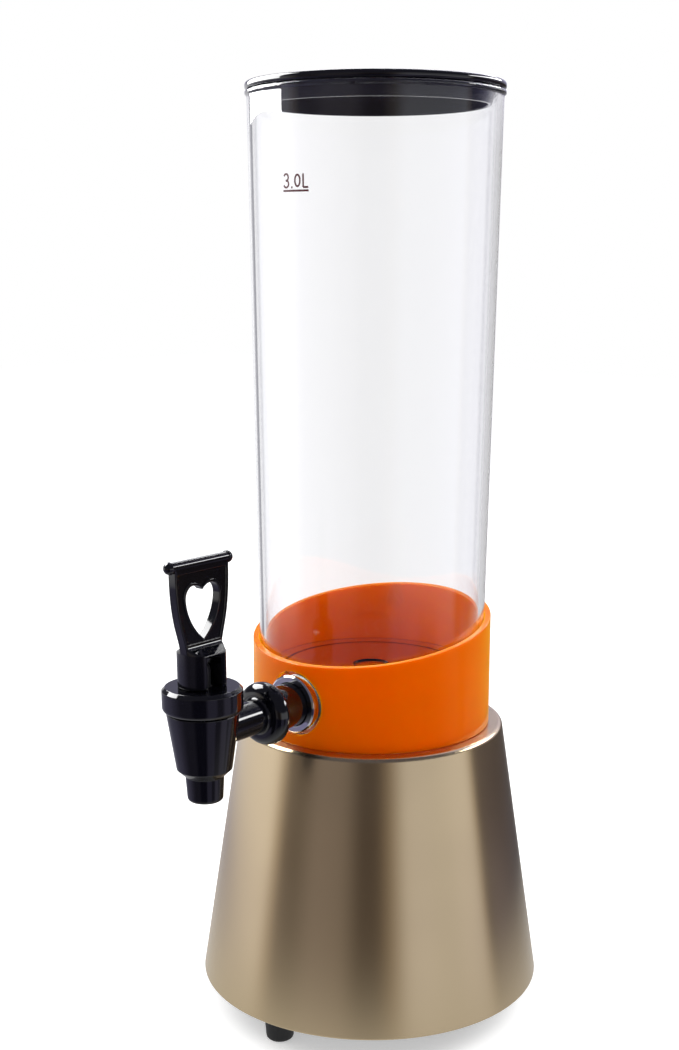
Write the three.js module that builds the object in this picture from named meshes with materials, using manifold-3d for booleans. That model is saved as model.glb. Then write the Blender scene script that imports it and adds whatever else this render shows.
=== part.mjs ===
// Countertop drink dispenser: a clear drafted tube stands in a slanted collar on a tapered
// stand with three feet, and a lever tap on a shank through the tube's wall empties it.
// Millimetres, +Z up. The feet stand on z = 0 and the tap points along -Y.

import * as THREE from 'three';
import { mergeVertices } from 'three/addons/utils/BufferGeometryUtils.js';
import Module from 'manifold-3d';

const wasm = await Module();
wasm.setup();

// Fits between pieces
const seatGap = 0.3; // between a piece and the face it rests on
const runGap = 0.3; // radial room round a shaft, a plug or a shank
const threadGap = 0.15; // radial room round a screw in its pilot hole
const overrun = 1; // how far a cutter runs past the face that it cuts
const weld = 0.0001; // corners closer than this are one corner

// Facets
const towerSides = 60;
const tapSides = 32;
const smallSides = 16;
const screwSides = 12;
const hexSides = 6;
const arcSteps = 3;
const curveSteps = 6;

// Stand
const rimHeight = 18; // the stand's lower rim above the table
const standHeight = 150;
const standFootRadius = 97;
const standLedge = 7.4; // flat of the stand's top round the collar
const standWall = 2.4;
const standTopThick = 3;
const standEdgeRound = 2.5;
const standRimRound = 0.8;

// Bottom plate and its screws
const plateRecess = 3; // plate's underside above the rim
const plateThick = 3;
const plateGap = 0.6; // between the plate's edge and the stand's wall
const plateScrewInset = 8.1; // screws' circle inside the stand's wall
const plateScrewRadius = 1.6;
const plateScrewLength = 13;
const plateScrewHeadRadius = 3;
const plateScrewHead = 2;
const screwCrownShare = 0.8; // radius of a screw head's crown
const standBossRadius = 5;
const standBossHeight = 14;
const standWebThick = 4;

// Feet
const footCount = 3;
const footInset = 18; // feet's circle inside the stand's rim
const footTipRadius = 7.5;
const footTopRadius = 9;
const footRound = 2.4;
const footBoreDepth = 10;
const footScrewRadius = 1.6;
const footScrewLength = 20;
const footScrewHeadRadius = 2.7;
const footScrewHead = 2.2;
const footBossRadius = 5.5;
const footBossHeight = 8;

// Tube
const tubeHeight = 322.7;
const tubeFootRadius = 61;
const tubeDraft = 2.5; // how much wider the tube is at its mouth
const tubeWall = 3.2;
const tubeFloor = 3.2;
const tubeFootRound = 1.5;
const tubeInnerRound = 3;
const tubeLip = 1; // how far the lip stands out
const tubeLipHeight = 2.4;
const tubeLipRound = 0.8;
const spigotRadius = 16;
const spigotWall = 3.5;
const spigotLength = 22;
const tubeWasherRadius = 26;
const tubeWasherThick = 2;
const tubeNutRadius = 24;
const tubeNutHeight = 12;

// Collar
const collarSlantDegrees = 8.94;
const collarLand = 4.1; // from the hole up to the slanted edge, at the tap
const collarRoom = 1.4; // between the collar's foot and the tube
const collarWall = 3.2;
const collarDraft = 0.6; // how much wider the collar is at its foot
const collarHoleRoom = 2.2; // round the trim ring

// False floor inside the tube
const insertHeight = 27.6;
const insertThick = 2;
const insertGap = 0.4; // between the disc's edge and the tube's inside
const insertLedge = 7.6; // how far the disc stands out past its skirt
const insertSkirtWall = 2;
const insertDrainRadius = 9;
const insertDrainLip = 1.2;
const insertNotchRoom = 3.3; // beside the tap's nut
const insertNotchPast = 2; // past the end of the tap's shank

// Lid
const lidRim = 3.7;
const lidRound = 1.3;
const lidUnderRound = 0.5;
const lidTopThick = 2.6;
const lidBand = 7.5; // from the lid's edge to its sunk panel
const lidPanelDrop = 0.8;
const lidPanelSlope = 1.2;
const lidPlugDepth = 7.3;
const lidPlugGap = 0.4; // between the plug's top and the tube's inside
const lidPlugTaper = 2.4;
const lidPlugWall = 2.2;

// Tap body
const tapRise = 22.6; // the arm's axis above the tube's foot
const armLength = 38.2; // from the flange's front to the spout's axis
const coneRise = 11.7; // cone's top above the arm's axis
const coneDrop = 17.7; // cone's foot below the arm's axis
const coneLedge = 1.8; // flat of the cone's top round its threaded neck
const coneWall = 3.5;
const shoulderHeight = 3.9; // from the cone's foot down to the spout
const spoutLength = 13;
const spoutWall = 3.1;
const spoutDraft = 0.8; // how much wider the spout is at its top
const spoutRound = 2;
const spoutBore = 5.8;
const bodyNeckWall = 2.8;
const chamberRoom = 5.6; // chamber's mouth round the stem's flange
const cupRoom = 2.8; // chamber's foot round the cup
const seatRise = 0.8; // valve seat above the cone's foot
const seatHeight = 4; // from the bore's mouth up to the chamber's foot
const armRadius = 9;
const armBore = 4.2;
const armStart = 8; // where the arm begins inside the cone
const flangeRadius = 16.5;
const flangeThick = 9;
const flangeFrontRound = 5.6;
const flangeBackRound = 2.4;
const flangeFillet = 1.5;
const neckRadius = 11.5;
const neckLength = 21.4;
const shankRadius = 7.8;
const shankLength = 18.9;
const shankChamfer = 0.8;

// Tap seals, trim and nut
const outerGasketRadius = 14.8;
const outerGasketThick = 1.1;
const innerGasketRadius = 12;
const innerGasketThick = 2.7;
const trimRadius = 15.2;
const trimThick = 4.4;
const trimChamfer = 1.4;
const shankNutRadius = 12.7;
const shankNutThick = 8;

// Bonnet
const bonnetWall = 3.3;
const bonnetHeight = 12.6;
const bonnetTopThick = 3.4;
const bonnetChamfer = 1.7;
const bonnetFootRound = 2.6;

// Valve
const stemRadius = 4.3;
const stemFlangeThick = 2;
const stemTailRadius = 3;
const stemTailLength = 8;
const cupRadius = 7.6;
const cupNoseInset = 0.8; // cup's nose inside the bore's edge
const cupHeight = 12.2;
const cupNoseHeight = 2.4;
const cupShoulder = 2;
const springWireRadius = 0.55;
const springRoom = 1.55; // between the spring and the stem
const springLedge = 1.05; // stem's flange outside the spring
const springTurns = 6.5;
const springStepsPerTurn = 10;
const springWireSides = 5;

// Handle
const blockHalfX = 9.75; // from the axis to the flats
const forkCheek = 2.25; // flat beside the slot
const blockHeight = 17.2;
const blockBevel = 3;
const blockFootRound = 1.5;
const slotGap = 0.45; // between the slot and the stem
const slotRoof = 1.6; // block above the slot
const pinRadius = 1.5;
const pinHeight = 7.8; // pin above the block's foot
const pinRecess = 0.3;
const plateHalfWidth = 17.8;
const plateHalfThick = 2.4;
const plateRoot = 4.5; // how deep the plate reaches into the block
const barRadius = 2.5;
const barEndRadius = 3;
const barOverhang = 4.2; // bar past the plate's edge
const barEndLength = 3.4;
const heartSide = 6.6; // plate beside the heart
const heartHeight = 26.7;
const heartRise = 3.6; // heart's tip above the block
const heartHead = 10; // from the heart's top to the bar's axis
const panelDepth = 0.6;
const panelRim = 2.2;
const heartRim = 1.5;

// Outlines as shares. Plate side: [share of the plate's half width, share of its height from
// the block to the bar], as the end points and handles of one curve.
const plateStartShares = [0.65, 0];
const plateSideShares = [[[0.65, 0.28], [0.96, 0.32], [1, 0.83]]];
// Heart, right half from the tip up: [share of half width, share of height].
const heartSideShares = [
  [[0.45, 0.15], [0.95, 0.42], [1, 0.76]],
  [[1, 0.9], [0.8, 1], [0.53, 1]],
  [[0.28, 1], [0.1, 0.95], [0, 0.9]],
];

// Levels and radii that follow from the sizes, from the stand up to the lid
const quarterTurn = Math.PI / 2;
const fullTurn = 2 * Math.PI;
const standTop = rimHeight + standHeight;
const plateBottom = rimHeight + plateRecess;
const plateTop = plateBottom + plateThick;
const plateScrewCircle = standFootRadius - standWall - plateScrewInset;
const footCircle = standFootRadius - footInset;
const footTop = plateBottom - seatGap;
const footBoreRadius = footScrewHeadRadius + runGap;
const tubeFoot = standTop + seatGap;
const tubeTop = tubeFoot + tubeHeight;
const tubeMouthRadius = tubeFootRadius + tubeDraft;
const tubeLipRadius = tubeMouthRadius + tubeLip;
const floorTop = tubeFoot + tubeFloor;
const washerTop = standTop - standTopThick - seatGap;
const nutTop = washerTop - tubeWasherThick - seatGap;
const insertFoot = floorTop + seatGap;
const insertTop = insertFoot + insertHeight;
const lidRimFoot = tubeTop + seatGap;
const lidTop = lidRimFoot + lidRim;
const tapHeight = tubeFoot + tapRise;
const collarSlant = THREE.MathUtils.degToRad(collarSlantDegrees);
const collarFootRadius = tubeFootRadius + collarRoom + collarWall;
const collarHoleRadius = trimRadius + collarHoleRoom;
const collarEdgeAtTap = tapRise + collarHoleRadius + collarLand; // this and the next from the foot
const collarAxisHeight = collarEdgeAtTap + collarFootRadius * Math.tan(collarSlant);
const standTopRadius = collarFootRadius + standLedge;

// Distances from the tube's axis along the tap
const tubeAtTap = tubeRadius(tapHeight);
const gasketFace = tubeAtTap + seatGap + outerGasketThick;
const neckEnd = gasketFace + seatGap;
const flangeBack = neckEnd + neckLength;
const flangeFront = flangeBack + flangeThick;
const shankEnd = neckEnd - shankLength;
const innerGasketFace = tubeAtTap - tubeWall - seatGap - innerGasketThick;
const tapReach = flangeFront + armLength;

// Valve and tap, from the stem outwards and from the spout upwards
const springRadius = stemRadius + springRoom + springWireRadius;
const stemFlangeRadius = springRadius + springWireRadius + springLedge;
const chamberTopRadius = stemFlangeRadius + chamberRoom;
const bodyNeckRadius = chamberTopRadius + bodyNeckWall;
const coneTopRadius = bodyNeckRadius + coneLedge;
const bonnetRadius = bodyNeckRadius + runGap + bonnetWall;
const chamberFootRadius = cupRadius + cupRoom;
const coneFootRadius = chamberFootRadius + coneWall;
const spoutEndRadius = spoutBore + spoutWall;
const spoutTopRadius = spoutEndRadius + spoutDraft;
const coneTop = tapHeight + coneRise;
const coneFoot = tapHeight - coneDrop;
const spoutTop = coneFoot - shoulderHeight;
const spoutEnd = spoutTop - spoutLength;
const seatFoot = coneFoot + seatRise;
const chamberFoot = seatFoot + seatHeight;
const cupNose = seatFoot + seatGap;
const cupTop = cupNose + cupHeight;
const stemFlangeFoot = cupTop + seatGap;
const bonnetFoot = coneTop + seatGap;
const bonnetTop = bonnetFoot + bonnetHeight;
const bonnetCeiling = bonnetTop - bonnetTopThick;
const bodyNeckTop = bonnetCeiling - seatGap;

// Handle
const slotHalf = stemRadius + slotGap;
const blockRadius = Math.hypot(blockHalfX, slotHalf + forkCheek);
const blockFoot = bonnetTop + seatGap;
const shoulder = blockFoot + blockHeight;
const pinLevel = blockFoot + pinHeight;
const heartFoot = shoulder + blockBevel + heartRise;
const heartHalfWidth = plateHalfWidth - heartSide;
const barLevel = heartFoot + heartHeight + heartHead;
const barHalfLength = plateHalfWidth + barOverhang;
const towerY = (tapReach + barHalfLength - standFootRadius) / 2; // centres the part on x = y = 0

// Radius of the stand's outside at a height
function standRadius(z) {
  return standFootRadius + ((standTopRadius - standFootRadius) * (z - rimHeight)) / standHeight;
}

// Radius of the tube's outside at a height
function tubeRadius(z) {
  return tubeFootRadius + (tubeDraft * (z - tubeFoot)) / tubeHeight;
}

// Radius of the collar's outside at a height
function collarRadius(z) {
  return collarFootRadius - (collarDraft * (z - tubeFoot)) / collarAxisHeight;
}

// Points of a round corner of a turned profile, from one angle to another
function corner(r, z, radius, from, to) {
  const points = [];
  for (let i = 0; i <= arcSteps; i += 1) {
    const angle = from + ((to - from) * i) / arcSteps;
    points.push([r + radius * Math.cos(angle), z + radius * Math.sin(angle)]);
  }
  return points;
}

// Revolves [radius, distance] points about Y
function turnedAlongY(points, sides) {
  return new THREE.LatheGeometry(points.map(([r, y]) => new THREE.Vector2(r, y)), sides);
}

// Revolves [radius, height] points about Z
function turned(points, sides) {
  return turnedAlongY(points, sides).rotateX(quarterTurn);
}

// A rod between two ends on the Y or Z axis
function rodAlongY(radius, from, to, sides) {
  return turnedAlongY([[0, from], [radius, from], [radius, to], [0, to]], sides);
}

function rod(radius, from, to, sides) {
  return rodAlongY(radius, from, to, sides).rotateX(quarterTurn);
}

// A box between two corners
function block(low, high) {
  const size = high.map((value, axis) => value - low[axis]);
  const middle = high.map((value, axis) => (value + low[axis]) / 2);
  return new THREE.BoxGeometry(...size).translate(...middle);
}

// A flat outline with a thickness that is centred on it
function extruded(shape, depth) {
  const options = { depth, bevelEnabled: false, curveSegments: curveSteps };
  return new THREE.ExtrudeGeometry(shape, options).translate(0, 0, -depth / 2);
}

// A flat outline drawn in X and Z, given a width along Y
function prismAlongY(shape, width) {
  return extruded(shape, width).rotateX(quarterTurn);
}

// A flat outline drawn in Y and Z, given a width along X
function prismAlongX(shape, width) {
  const turn = new THREE.Matrix4().makeBasis(
    new THREE.Vector3(0, 1, 0),
    new THREE.Vector3(0, 0, 1),
    new THREE.Vector3(1, 0, 0),
  );
  return extruded(shape, width).applyMatrix4(turn);
}

// The same geometry with shared corners, no empty triangles and faces that point out
function closed(geometry) {
  const bare = new THREE.BufferGeometry();
  bare.setAttribute('position', geometry.getAttribute('position').clone());
  if (geometry.index) bare.setIndex(geometry.index.clone());
  const merged = mergeVertices(bare, weld);
  const places = merged.getAttribute('position');
  const corners = [0, 1, 2].map(() => new THREE.Vector3());
  const kept = [];
  let volume = 0;
  for (let i = 0; i < merged.index.count; i += 3) {
    const [a, b, c] = [0, 1, 2].map((step) => merged.index.getX(i + step));
    if (a === b || b === c || c === a) continue;
    [a, b, c].forEach((at, n) => corners[n].fromBufferAttribute(places, at));
    volume += corners[0].dot(corners[1].clone().cross(corners[2]));
    kept.push([a, b, c]);
  }
  merged.setIndex(kept.flatMap(([a, b, c]) => (volume < 0 ? [a, c, b] : [a, b, c])));
  return merged;
}

function solid(geometry) {
  const mesh = closed(geometry);
  return new wasm.Manifold(new wasm.Mesh({
    numProp: 3,
    vertProperties: new Float32Array(mesh.getAttribute('position').array),
    triVerts: new Uint32Array(mesh.index.array),
  }));
}

function geometryOf(manifold) {
  const mesh = manifold.getMesh();
  const geometry = new THREE.BufferGeometry();
  geometry.setAttribute('position', new THREE.BufferAttribute(mesh.vertProperties, 3));
  geometry.setIndex(new THREE.BufferAttribute(mesh.triVerts, 1));
  return geometry;
}

function joined(first, ...others) {
  return geometryOf(others.reduce((sum, next) => sum.add(solid(next)), solid(first)));
}

function cut(first, ...cutters) {
  return geometryOf(cutters.reduce((rest, next) => rest.subtract(solid(next)), solid(first)));
}

function shared(first, second) {
  return geometryOf(solid(first).intersect(solid(second)));
}

// Places round the tower, the first one straight under the tap
function around(count, radius, offsetShare) {
  return Array.from({ length: count }, (_, i) => {
    const angle = ((i + offsetShare) / count) * fullTurn;
    return [radius * Math.sin(angle), -radius * Math.cos(angle), angle];
  });
}

// Colour, roughness and metalness of each finish
const finishes = {
  satinGold: { color: 0xb9a58a, roughness: 0.34, metalness: 0.85 },
  orange: { color: 0xee6a00, roughness: 0.22, metalness: 0 },
  clear: { color: 0xf2f5f7, roughness: 0.05, metalness: 0, transparent: true, opacity: 0.25 },
  glossBlack: { color: 0x0c0d14, roughness: 0.14, metalness: 0 },
  mattBlack: { color: 0x17161a, roughness: 0.6, metalness: 0 },
  rubber: { color: 0x141416, roughness: 0.8, metalness: 0 },
  steel: { color: 0xc9ccd2, roughness: 0.12, metalness: 1 },
  silicone: { color: 0xcfcfc8, roughness: 0.55, metalness: 0 },
};

function piece(name, geometry, finish) {
  const shape = closed(geometry);
  shape.computeVertexNormals();
  const mesh = new THREE.Mesh(shape, new THREE.MeshStandardMaterial({ ...finish, flatShading: true }));
  mesh.name = name;
  return mesh;
}

// Stand: a hollow tapered shell, open below, with three bosses inside for the plate's screws
function baseShell() {
  const slant = Math.atan((standFootRadius - standTopRadius) / standHeight);
  const ceiling = standTop - standTopThick;
  const edgeZ = standTop - standEdgeRound;
  const edgeR = standRadius(edgeZ) - standEdgeRound / Math.cos(slant);
  const shell = turned([
    [standFootRadius - standWall, rimHeight],
    [standFootRadius - standRimRound, rimHeight],
    [standRadius(rimHeight + standRimRound), rimHeight + standRimRound],
    ...corner(edgeR, edgeZ, standEdgeRound, slant, quarterTurn),
    [spigotRadius + runGap, standTop],
    [spigotRadius + runGap, ceiling],
    [standRadius(ceiling) - standWall, ceiling],
    [standFootRadius - standWall, rimHeight],
  ], towerSides);
  const core = turned([
    [0, rimHeight],
    [standFootRadius - standWall / 2, rimHeight],
    [standTopRadius - standWall / 2, standTop],
    [0, standTop],
  ], towerSides);
  const bossFoot = plateTop + seatGap;
  const bossTop = bossFoot + standBossHeight;
  const holeTop = plateBottom - seatGap + plateScrewLength + overrun;
  const bosses = around(footCount, plateScrewCircle, 0.5).map(([x, y, angle]) => {
    const web = block(
      [-standWebThick / 2, -standFootRadius, bossFoot],
      [standWebThick / 2, -plateScrewCircle, bossTop],
    );
    const post = rod(standBossRadius, bossFoot, bossTop, smallSides).translate(x, y, 0);
    const hole = rod(plateScrewRadius + threadGap, bossFoot - overrun, holeTop, smallSides);
    return cut(shared(joined(web.rotateZ(angle), post), core), hole.translate(x, y, 0));
  });
  return joined(shell, ...bosses);
}

// Round plate that closes the stand, with a boss over each foot
function bottomPlate() {
  const radius = standRadius(plateBottom) - standWall - plateGap;
  const bosses = around(footCount, footCircle, 0).map(([x, y]) => rod(
    footBossRadius,
    plateBottom + plateThick / 2,
    plateTop + footBossHeight,
    smallSides,
  ).translate(x, y, 0));
  const footHoles = around(footCount, footCircle, 0).map(([x, y]) => rod(
    footScrewRadius + threadGap,
    plateBottom - overrun,
    plateTop + footBossHeight + overrun,
    smallSides,
  ).translate(x, y, 0));
  const screwHoles = around(footCount, plateScrewCircle, 0.5).map(([x, y]) => rod(
    plateScrewRadius + runGap,
    plateBottom - overrun,
    plateTop + overrun,
    smallSides,
  ).translate(x, y, 0));
  const disc = rod(radius, plateBottom, plateTop, towerSides);
  return cut(joined(disc, ...bosses), ...footHoles, ...screwHoles);
}

// Tapered rubber foot with a deep counterbore for its screw
function foot() {
  return turned([
    [footBoreRadius, 0],
    [footTipRadius - footRound, 0],
    ...corner(footTipRadius - footRound, footRound, footRound, -quarterTurn, 0),
    [footTopRadius, footTop],
    [footScrewRadius + runGap, footTop],
    [footScrewRadius + runGap, footBoreDepth],
    [footBoreRadius, footBoreDepth],
    [footBoreRadius, 0],
  ], smallSides);
}

// Round-headed screw that points up, with the seat of its head at a given height
function screw(seat, headRadius, head, radius, length) {
  return turned([
    [0, seat - head],
    [headRadius * screwCrownShare, seat - head],
    [headRadius, seat - head / 2],
    [headRadius, seat],
    [radius, seat],
    [radius, seat + length - radius],
    [0, seat + length],
  ], screwSides);
}

// Clear moulded tube with its floor, a threaded spigot below and a thin lip at the mouth
function tube() {
  const lipFoot = tubeTop - tubeLipHeight;
  const innerFoot = tubeRadius(floorTop) - tubeWall;
  const body = turned([
    [0, tubeFoot],
    [spigotRadius - spigotWall, tubeFoot],
    [spigotRadius - spigotWall, tubeFoot - spigotLength],
    [spigotRadius, tubeFoot - spigotLength],
    [spigotRadius, tubeFoot],
    ...corner(tubeFootRadius - tubeFootRound, tubeFoot + tubeFootRound, tubeFootRound, -quarterTurn, 0),
    [tubeRadius(lipFoot), lipFoot],
    [tubeLipRadius, lipFoot + tubeLipRound],
    [tubeLipRadius, tubeTop - tubeLipRound],
    [tubeLipRadius - tubeLipRound, tubeTop],
    [tubeMouthRadius - tubeWall, tubeTop],
    ...corner(innerFoot - tubeInnerRound, floorTop + tubeInnerRound, tubeInnerRound, 0, -quarterTurn),
    [0, floorTop],
  ], towerSides);
  const holeFrom = -tubeAtTap - overrun;
  const holeTo = tubeWall + overrun - tubeAtTap;
  const hole = rodAlongY(shankRadius + runGap, holeFrom, holeTo, smallSides);
  return cut(body, hole.translate(0, 0, tapHeight));
}

function tubeWasher() {
  const bore = spigotRadius + runGap;
  return turned([
    [bore, washerTop - tubeWasherThick],
    [tubeWasherRadius, washerTop - tubeWasherThick],
    [tubeWasherRadius, washerTop],
    [bore, washerTop],
    [bore, washerTop - tubeWasherThick],
  ], tapSides);
}

// Hexagonal nut on the tube's spigot, under the stand's top
function tubeNut() {
  const foot = nutTop - tubeNutHeight;
  const hexagon = rod(tubeNutRadius, foot, nutTop, hexSides);
  return cut(hexagon, rod(spigotRadius + threadGap, foot - overrun, nutTop + overrun, tapSides));
}

// Sleeve round the tube's foot, cut off on a slant that is low at the tap
function collar() {
  const reach = 2 * collarFootRadius;
  const top = tubeFoot + collarAxisHeight + collarFootRadius * Math.tan(collarSlant) + overrun;
  const sleeve = turned([
    [collarRadius(tubeFoot) - collarWall, tubeFoot],
    [collarRadius(tubeFoot), tubeFoot],
    [collarRadius(top), top],
    [collarRadius(top) - collarWall, top],
    [collarRadius(tubeFoot) - collarWall, tubeFoot],
  ], towerSides);
  const slice = block([-reach, -reach, 0], [reach, reach, reach]).rotateX(collarSlant);
  const hole = rodAlongY(collarHoleRadius, -reach, 0, tapSides);
  return cut(
    sleeve,
    slice.translate(0, 0, tubeFoot + collarAxisHeight),
    hole.translate(0, 0, tapHeight),
  );
}

// False floor on a skirt. It has a drain hole in the middle and room for the tap's nut in front.
function floorInsert() {
  const radius = tubeRadius(insertTop - insertThick) - tubeWall - insertGap;
  const under = insertTop - insertThick;
  const skirt = radius - insertLedge;
  const skirtInside = skirt - insertSkirtWall;
  const notchHalf = shankNutRadius + insertNotchRoom;
  const disc = turned([
    [insertDrainRadius, under],
    [skirtInside, under],
    [skirtInside, insertFoot],
    [skirt, insertFoot],
    [skirt, under],
    [radius, under],
    [radius, insertTop],
    [insertDrainRadius + insertDrainLip, insertTop],
    [insertDrainRadius, insertTop - insertDrainLip],
    [insertDrainRadius, under],
  ], towerSides);
  const notch = block(
    [-notchHalf, -radius - overrun, insertFoot - overrun],
    [notchHalf, insertNotchPast - shankEnd, insertTop + overrun],
  );
  return cut(disc, notch);
}

// Push-in lid: a rim on the tube's lip, a shallow dished top and a hollow tapered plug
function lid() {
  const plugTop = tubeMouthRadius - tubeWall - lidPlugGap;
  const plugFoot = plugTop - lidPlugTaper;
  const panelRadius = tubeLipRadius - lidBand;
  const ceiling = lidTop - lidTopThick;
  return turned([
    [0, lidTop - lidPanelDrop],
    [panelRadius, lidTop - lidPanelDrop],
    [panelRadius + lidPanelSlope, lidTop],
    ...corner(tubeLipRadius - lidRound, lidTop - lidRound, lidRound, quarterTurn, 0),
    [tubeLipRadius, lidRimFoot + lidUnderRound],
    [tubeLipRadius - lidUnderRound, lidRimFoot],
    [plugTop, lidRimFoot],
    [plugFoot, lidRimFoot - lidPlugDepth],
    [plugFoot - lidPlugWall, lidRimFoot - lidPlugDepth],
    [plugTop - lidPlugWall, ceiling],
    [0, ceiling],
  ], towerSides);
}

// Tap body in one moulding: cone, spout, arm, flange, neck and threaded shank
function tapBody() {
  const cone = turned([
    [0, spoutEnd],
    ...corner(spoutEndRadius - spoutRound, spoutEnd + spoutRound, spoutRound, -quarterTurn, 0),
    [spoutTopRadius, spoutTop],
    [coneFootRadius, coneFoot],
    [coneTopRadius, coneTop],
    [bodyNeckRadius, coneTop],
    [bodyNeckRadius, bodyNeckTop],
    [0, bodyNeckTop],
  ], tapSides);
  const front = tapReach - flangeFront;
  const back = tapReach - flangeBack;
  const frontRoundR = flangeRadius - flangeFrontRound;
  const backRoundR = flangeRadius - flangeBackRound;
  const neck = tapReach - neckEnd;
  const end = tapReach - shankEnd;
  const arm = turnedAlongY([
    [0, armStart],
    [armRadius, armStart],
    [armRadius, front - flangeFillet],
    [armRadius + flangeFillet, front],
    ...corner(frontRoundR, front + flangeFrontRound, flangeFrontRound, -quarterTurn, 0),
    ...corner(backRoundR, back - flangeBackRound, flangeBackRound, 0, quarterTurn),
    [neckRadius, back],
    [neckRadius, neck],
    [shankRadius, neck],
    [shankRadius, end - shankChamfer],
    [shankRadius - shankChamfer, end],
    [0, end],
  ], tapSides).translate(0, 0, tapHeight);
  const chamber = turned([
    [0, spoutEnd - overrun],
    [spoutBore, spoutEnd - overrun],
    [spoutBore, seatFoot],
    [chamberFootRadius, chamberFoot],
    [chamberTopRadius, coneTop],
    [chamberTopRadius, bodyNeckTop + overrun],
    [0, bodyNeckTop + overrun],
  ], tapSides);
  const bore = rodAlongY(armBore, 0, end + overrun, smallSides).translate(0, 0, tapHeight);
  return cut(joined(cone, arm), chamber, bore);
}

// Screw cap on the tap body, with a hole for the stem
function bonnet() {
  const inside = bodyNeckRadius + runGap;
  const footR = bonnetRadius - bonnetFootRound;
  const stemHole = stemRadius + runGap;
  return turned([
    [inside, bonnetFoot],
    ...corner(footR, bonnetFoot + bonnetFootRound, bonnetFootRound, -quarterTurn, 0),
    [bonnetRadius, bonnetTop - bonnetChamfer],
    [bonnetRadius - bonnetChamfer, bonnetTop],
    [stemHole, bonnetTop],
    [stemHole, bonnetCeiling],
    [inside, bonnetCeiling],
    [inside, bonnetFoot],
  ], tapSides);
}

// Rubber ring between the tap's neck and the round outside of the tube
function outerGasket() {
  const ring = turnedAlongY([
    [shankRadius + runGap, tapReach - gasketFace],
    [outerGasketRadius, tapReach - gasketFace],
    [outerGasketRadius, tapReach],
    [shankRadius + runGap, tapReach],
    [shankRadius + runGap, tapReach - gasketFace],
  ], tapSides).translate(0, 0, tapHeight);
  const reach = outerGasketRadius + overrun;
  const wall = rod(tubeAtTap + seatGap, tapHeight - reach, tapHeight + reach, towerSides);
  return cut(ring, wall.translate(0, tapReach, 0));
}

// Rubber ring between the shank's nut and the round inside of the tube
function innerGasket() {
  const ring = turnedAlongY([
    [shankRadius + runGap, tapReach - tubeAtTap],
    [innerGasketRadius, tapReach - tubeAtTap],
    [innerGasketRadius, tapReach - innerGasketFace],
    [shankRadius + runGap, tapReach - innerGasketFace],
    [shankRadius + runGap, tapReach - tubeAtTap],
  ], tapSides).translate(0, 0, tapHeight);
  const reach = innerGasketRadius + overrun;
  const room = rod(tubeAtTap - tubeWall - seatGap, tapHeight - reach, tapHeight + reach, towerSides);
  return shared(ring, room.translate(0, tapReach, 0));
}

// Polished ring round the neck, inside the collar's hole
function trimRing() {
  const back = tapReach - gasketFace - seatGap;
  const front = back - trimThick;
  const bore = neckRadius + runGap;
  return turnedAlongY([
    [bore, front],
    [trimRadius - trimChamfer, front],
    [trimRadius, front + trimChamfer],
    [trimRadius, back],
    [bore, back],
    [bore, front],
  ], tapSides).translate(0, 0, tapHeight);
}

// Hexagonal nut on the shank, inside the tube
function shankNut() {
  const near = tapReach - innerGasketFace + seatGap;
  const hexagon = rodAlongY(shankNutRadius, near, near + shankNutThick, hexSides);
  const bore = rodAlongY(shankRadius + threadGap, near - overrun, near + shankNutThick + overrun, tapSides);
  return cut(hexagon, bore).translate(0, 0, tapHeight);
}

// Stem: a tail for the cup, a flange for the spring and a rod with a cross hole for the pin
function valveStem() {
  const flangeTop = stemFlangeFoot + stemFlangeThick;
  const stem = turned([
    [0, stemFlangeFoot - stemTailLength],
    [stemTailRadius, stemFlangeFoot - stemTailLength],
    [stemTailRadius, stemFlangeFoot],
    [stemFlangeRadius, stemFlangeFoot],
    [stemFlangeRadius, flangeTop],
    [stemRadius, flangeTop],
    ...corner(0, pinLevel, stemRadius, 0, quarterTurn),
  ], tapSides);
  const hole = rodAlongY(pinRadius + runGap, -stemRadius - overrun, stemRadius + overrun, smallSides);
  return cut(stem, hole.translate(0, 0, pinLevel));
}

// Soft cup on the stem's tail, whose nose closes the spout's bore
function valveCup() {
  const socket = stemTailRadius + runGap;
  return turned([
    [0, cupNose],
    [spoutBore - cupNoseInset, cupNose],
    [cupRadius, cupNose + cupNoseHeight],
    [cupRadius, cupTop - cupShoulder],
    [cupRadius - cupShoulder, cupTop],
    [socket, cupTop],
    [socket, stemFlangeFoot - stemTailLength - seatGap],
    [0, stemFlangeFoot - stemTailLength - seatGap],
  ], tapSides);
}

// Axis of the spring's wire
class Coil extends THREE.Curve {
  constructor(radius, from, to, turns) {
    super();
    this.radius = radius;
    this.from = from;
    this.to = to;
    this.turns = turns;
  }

  getPoint(t, target = new THREE.Vector3()) {
    const angle = fullTurn * this.turns * t;
    const z = this.from + (this.to - this.from) * t;
    return target.set(this.radius * Math.cos(angle), this.radius * Math.sin(angle), z);
  }
}

// Compression spring between the stem's flange and the bonnet
function valveSpring() {
  const from = stemFlangeFoot + stemFlangeThick + seatGap + springWireRadius;
  const to = bonnetCeiling - seatGap - springWireRadius;
  const coil = new Coil(springRadius, from, to, springTurns);
  const steps = Math.round(springTurns * springStepsPerTurn);
  const section = new THREE.Shape(Array.from({ length: springWireSides }, (_, i) => {
    const angle = (i / springWireSides) * fullTurn;
    return new THREE.Vector2(springWireRadius * Math.cos(angle), springWireRadius * Math.sin(angle));
  }));
  let nearest = Infinity;
  for (let i = 0; i + springStepsPerTurn / 2 <= steps; i += 1) {
    for (let j = i + springStepsPerTurn / 2; j <= steps; j += 1) {
      nearest = Math.min(nearest, coil.getPoint(i / steps).distanceTo(coil.getPoint(j / steps)));
    }
  }
  console.log(`valve spring: least gap to itself ${(nearest - 2 * springWireRadius).toFixed(2)} mm`);
  return new THREE.ExtrudeGeometry(section, { steps, extrudePath: coil, bevelEnabled: false });
}

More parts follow.
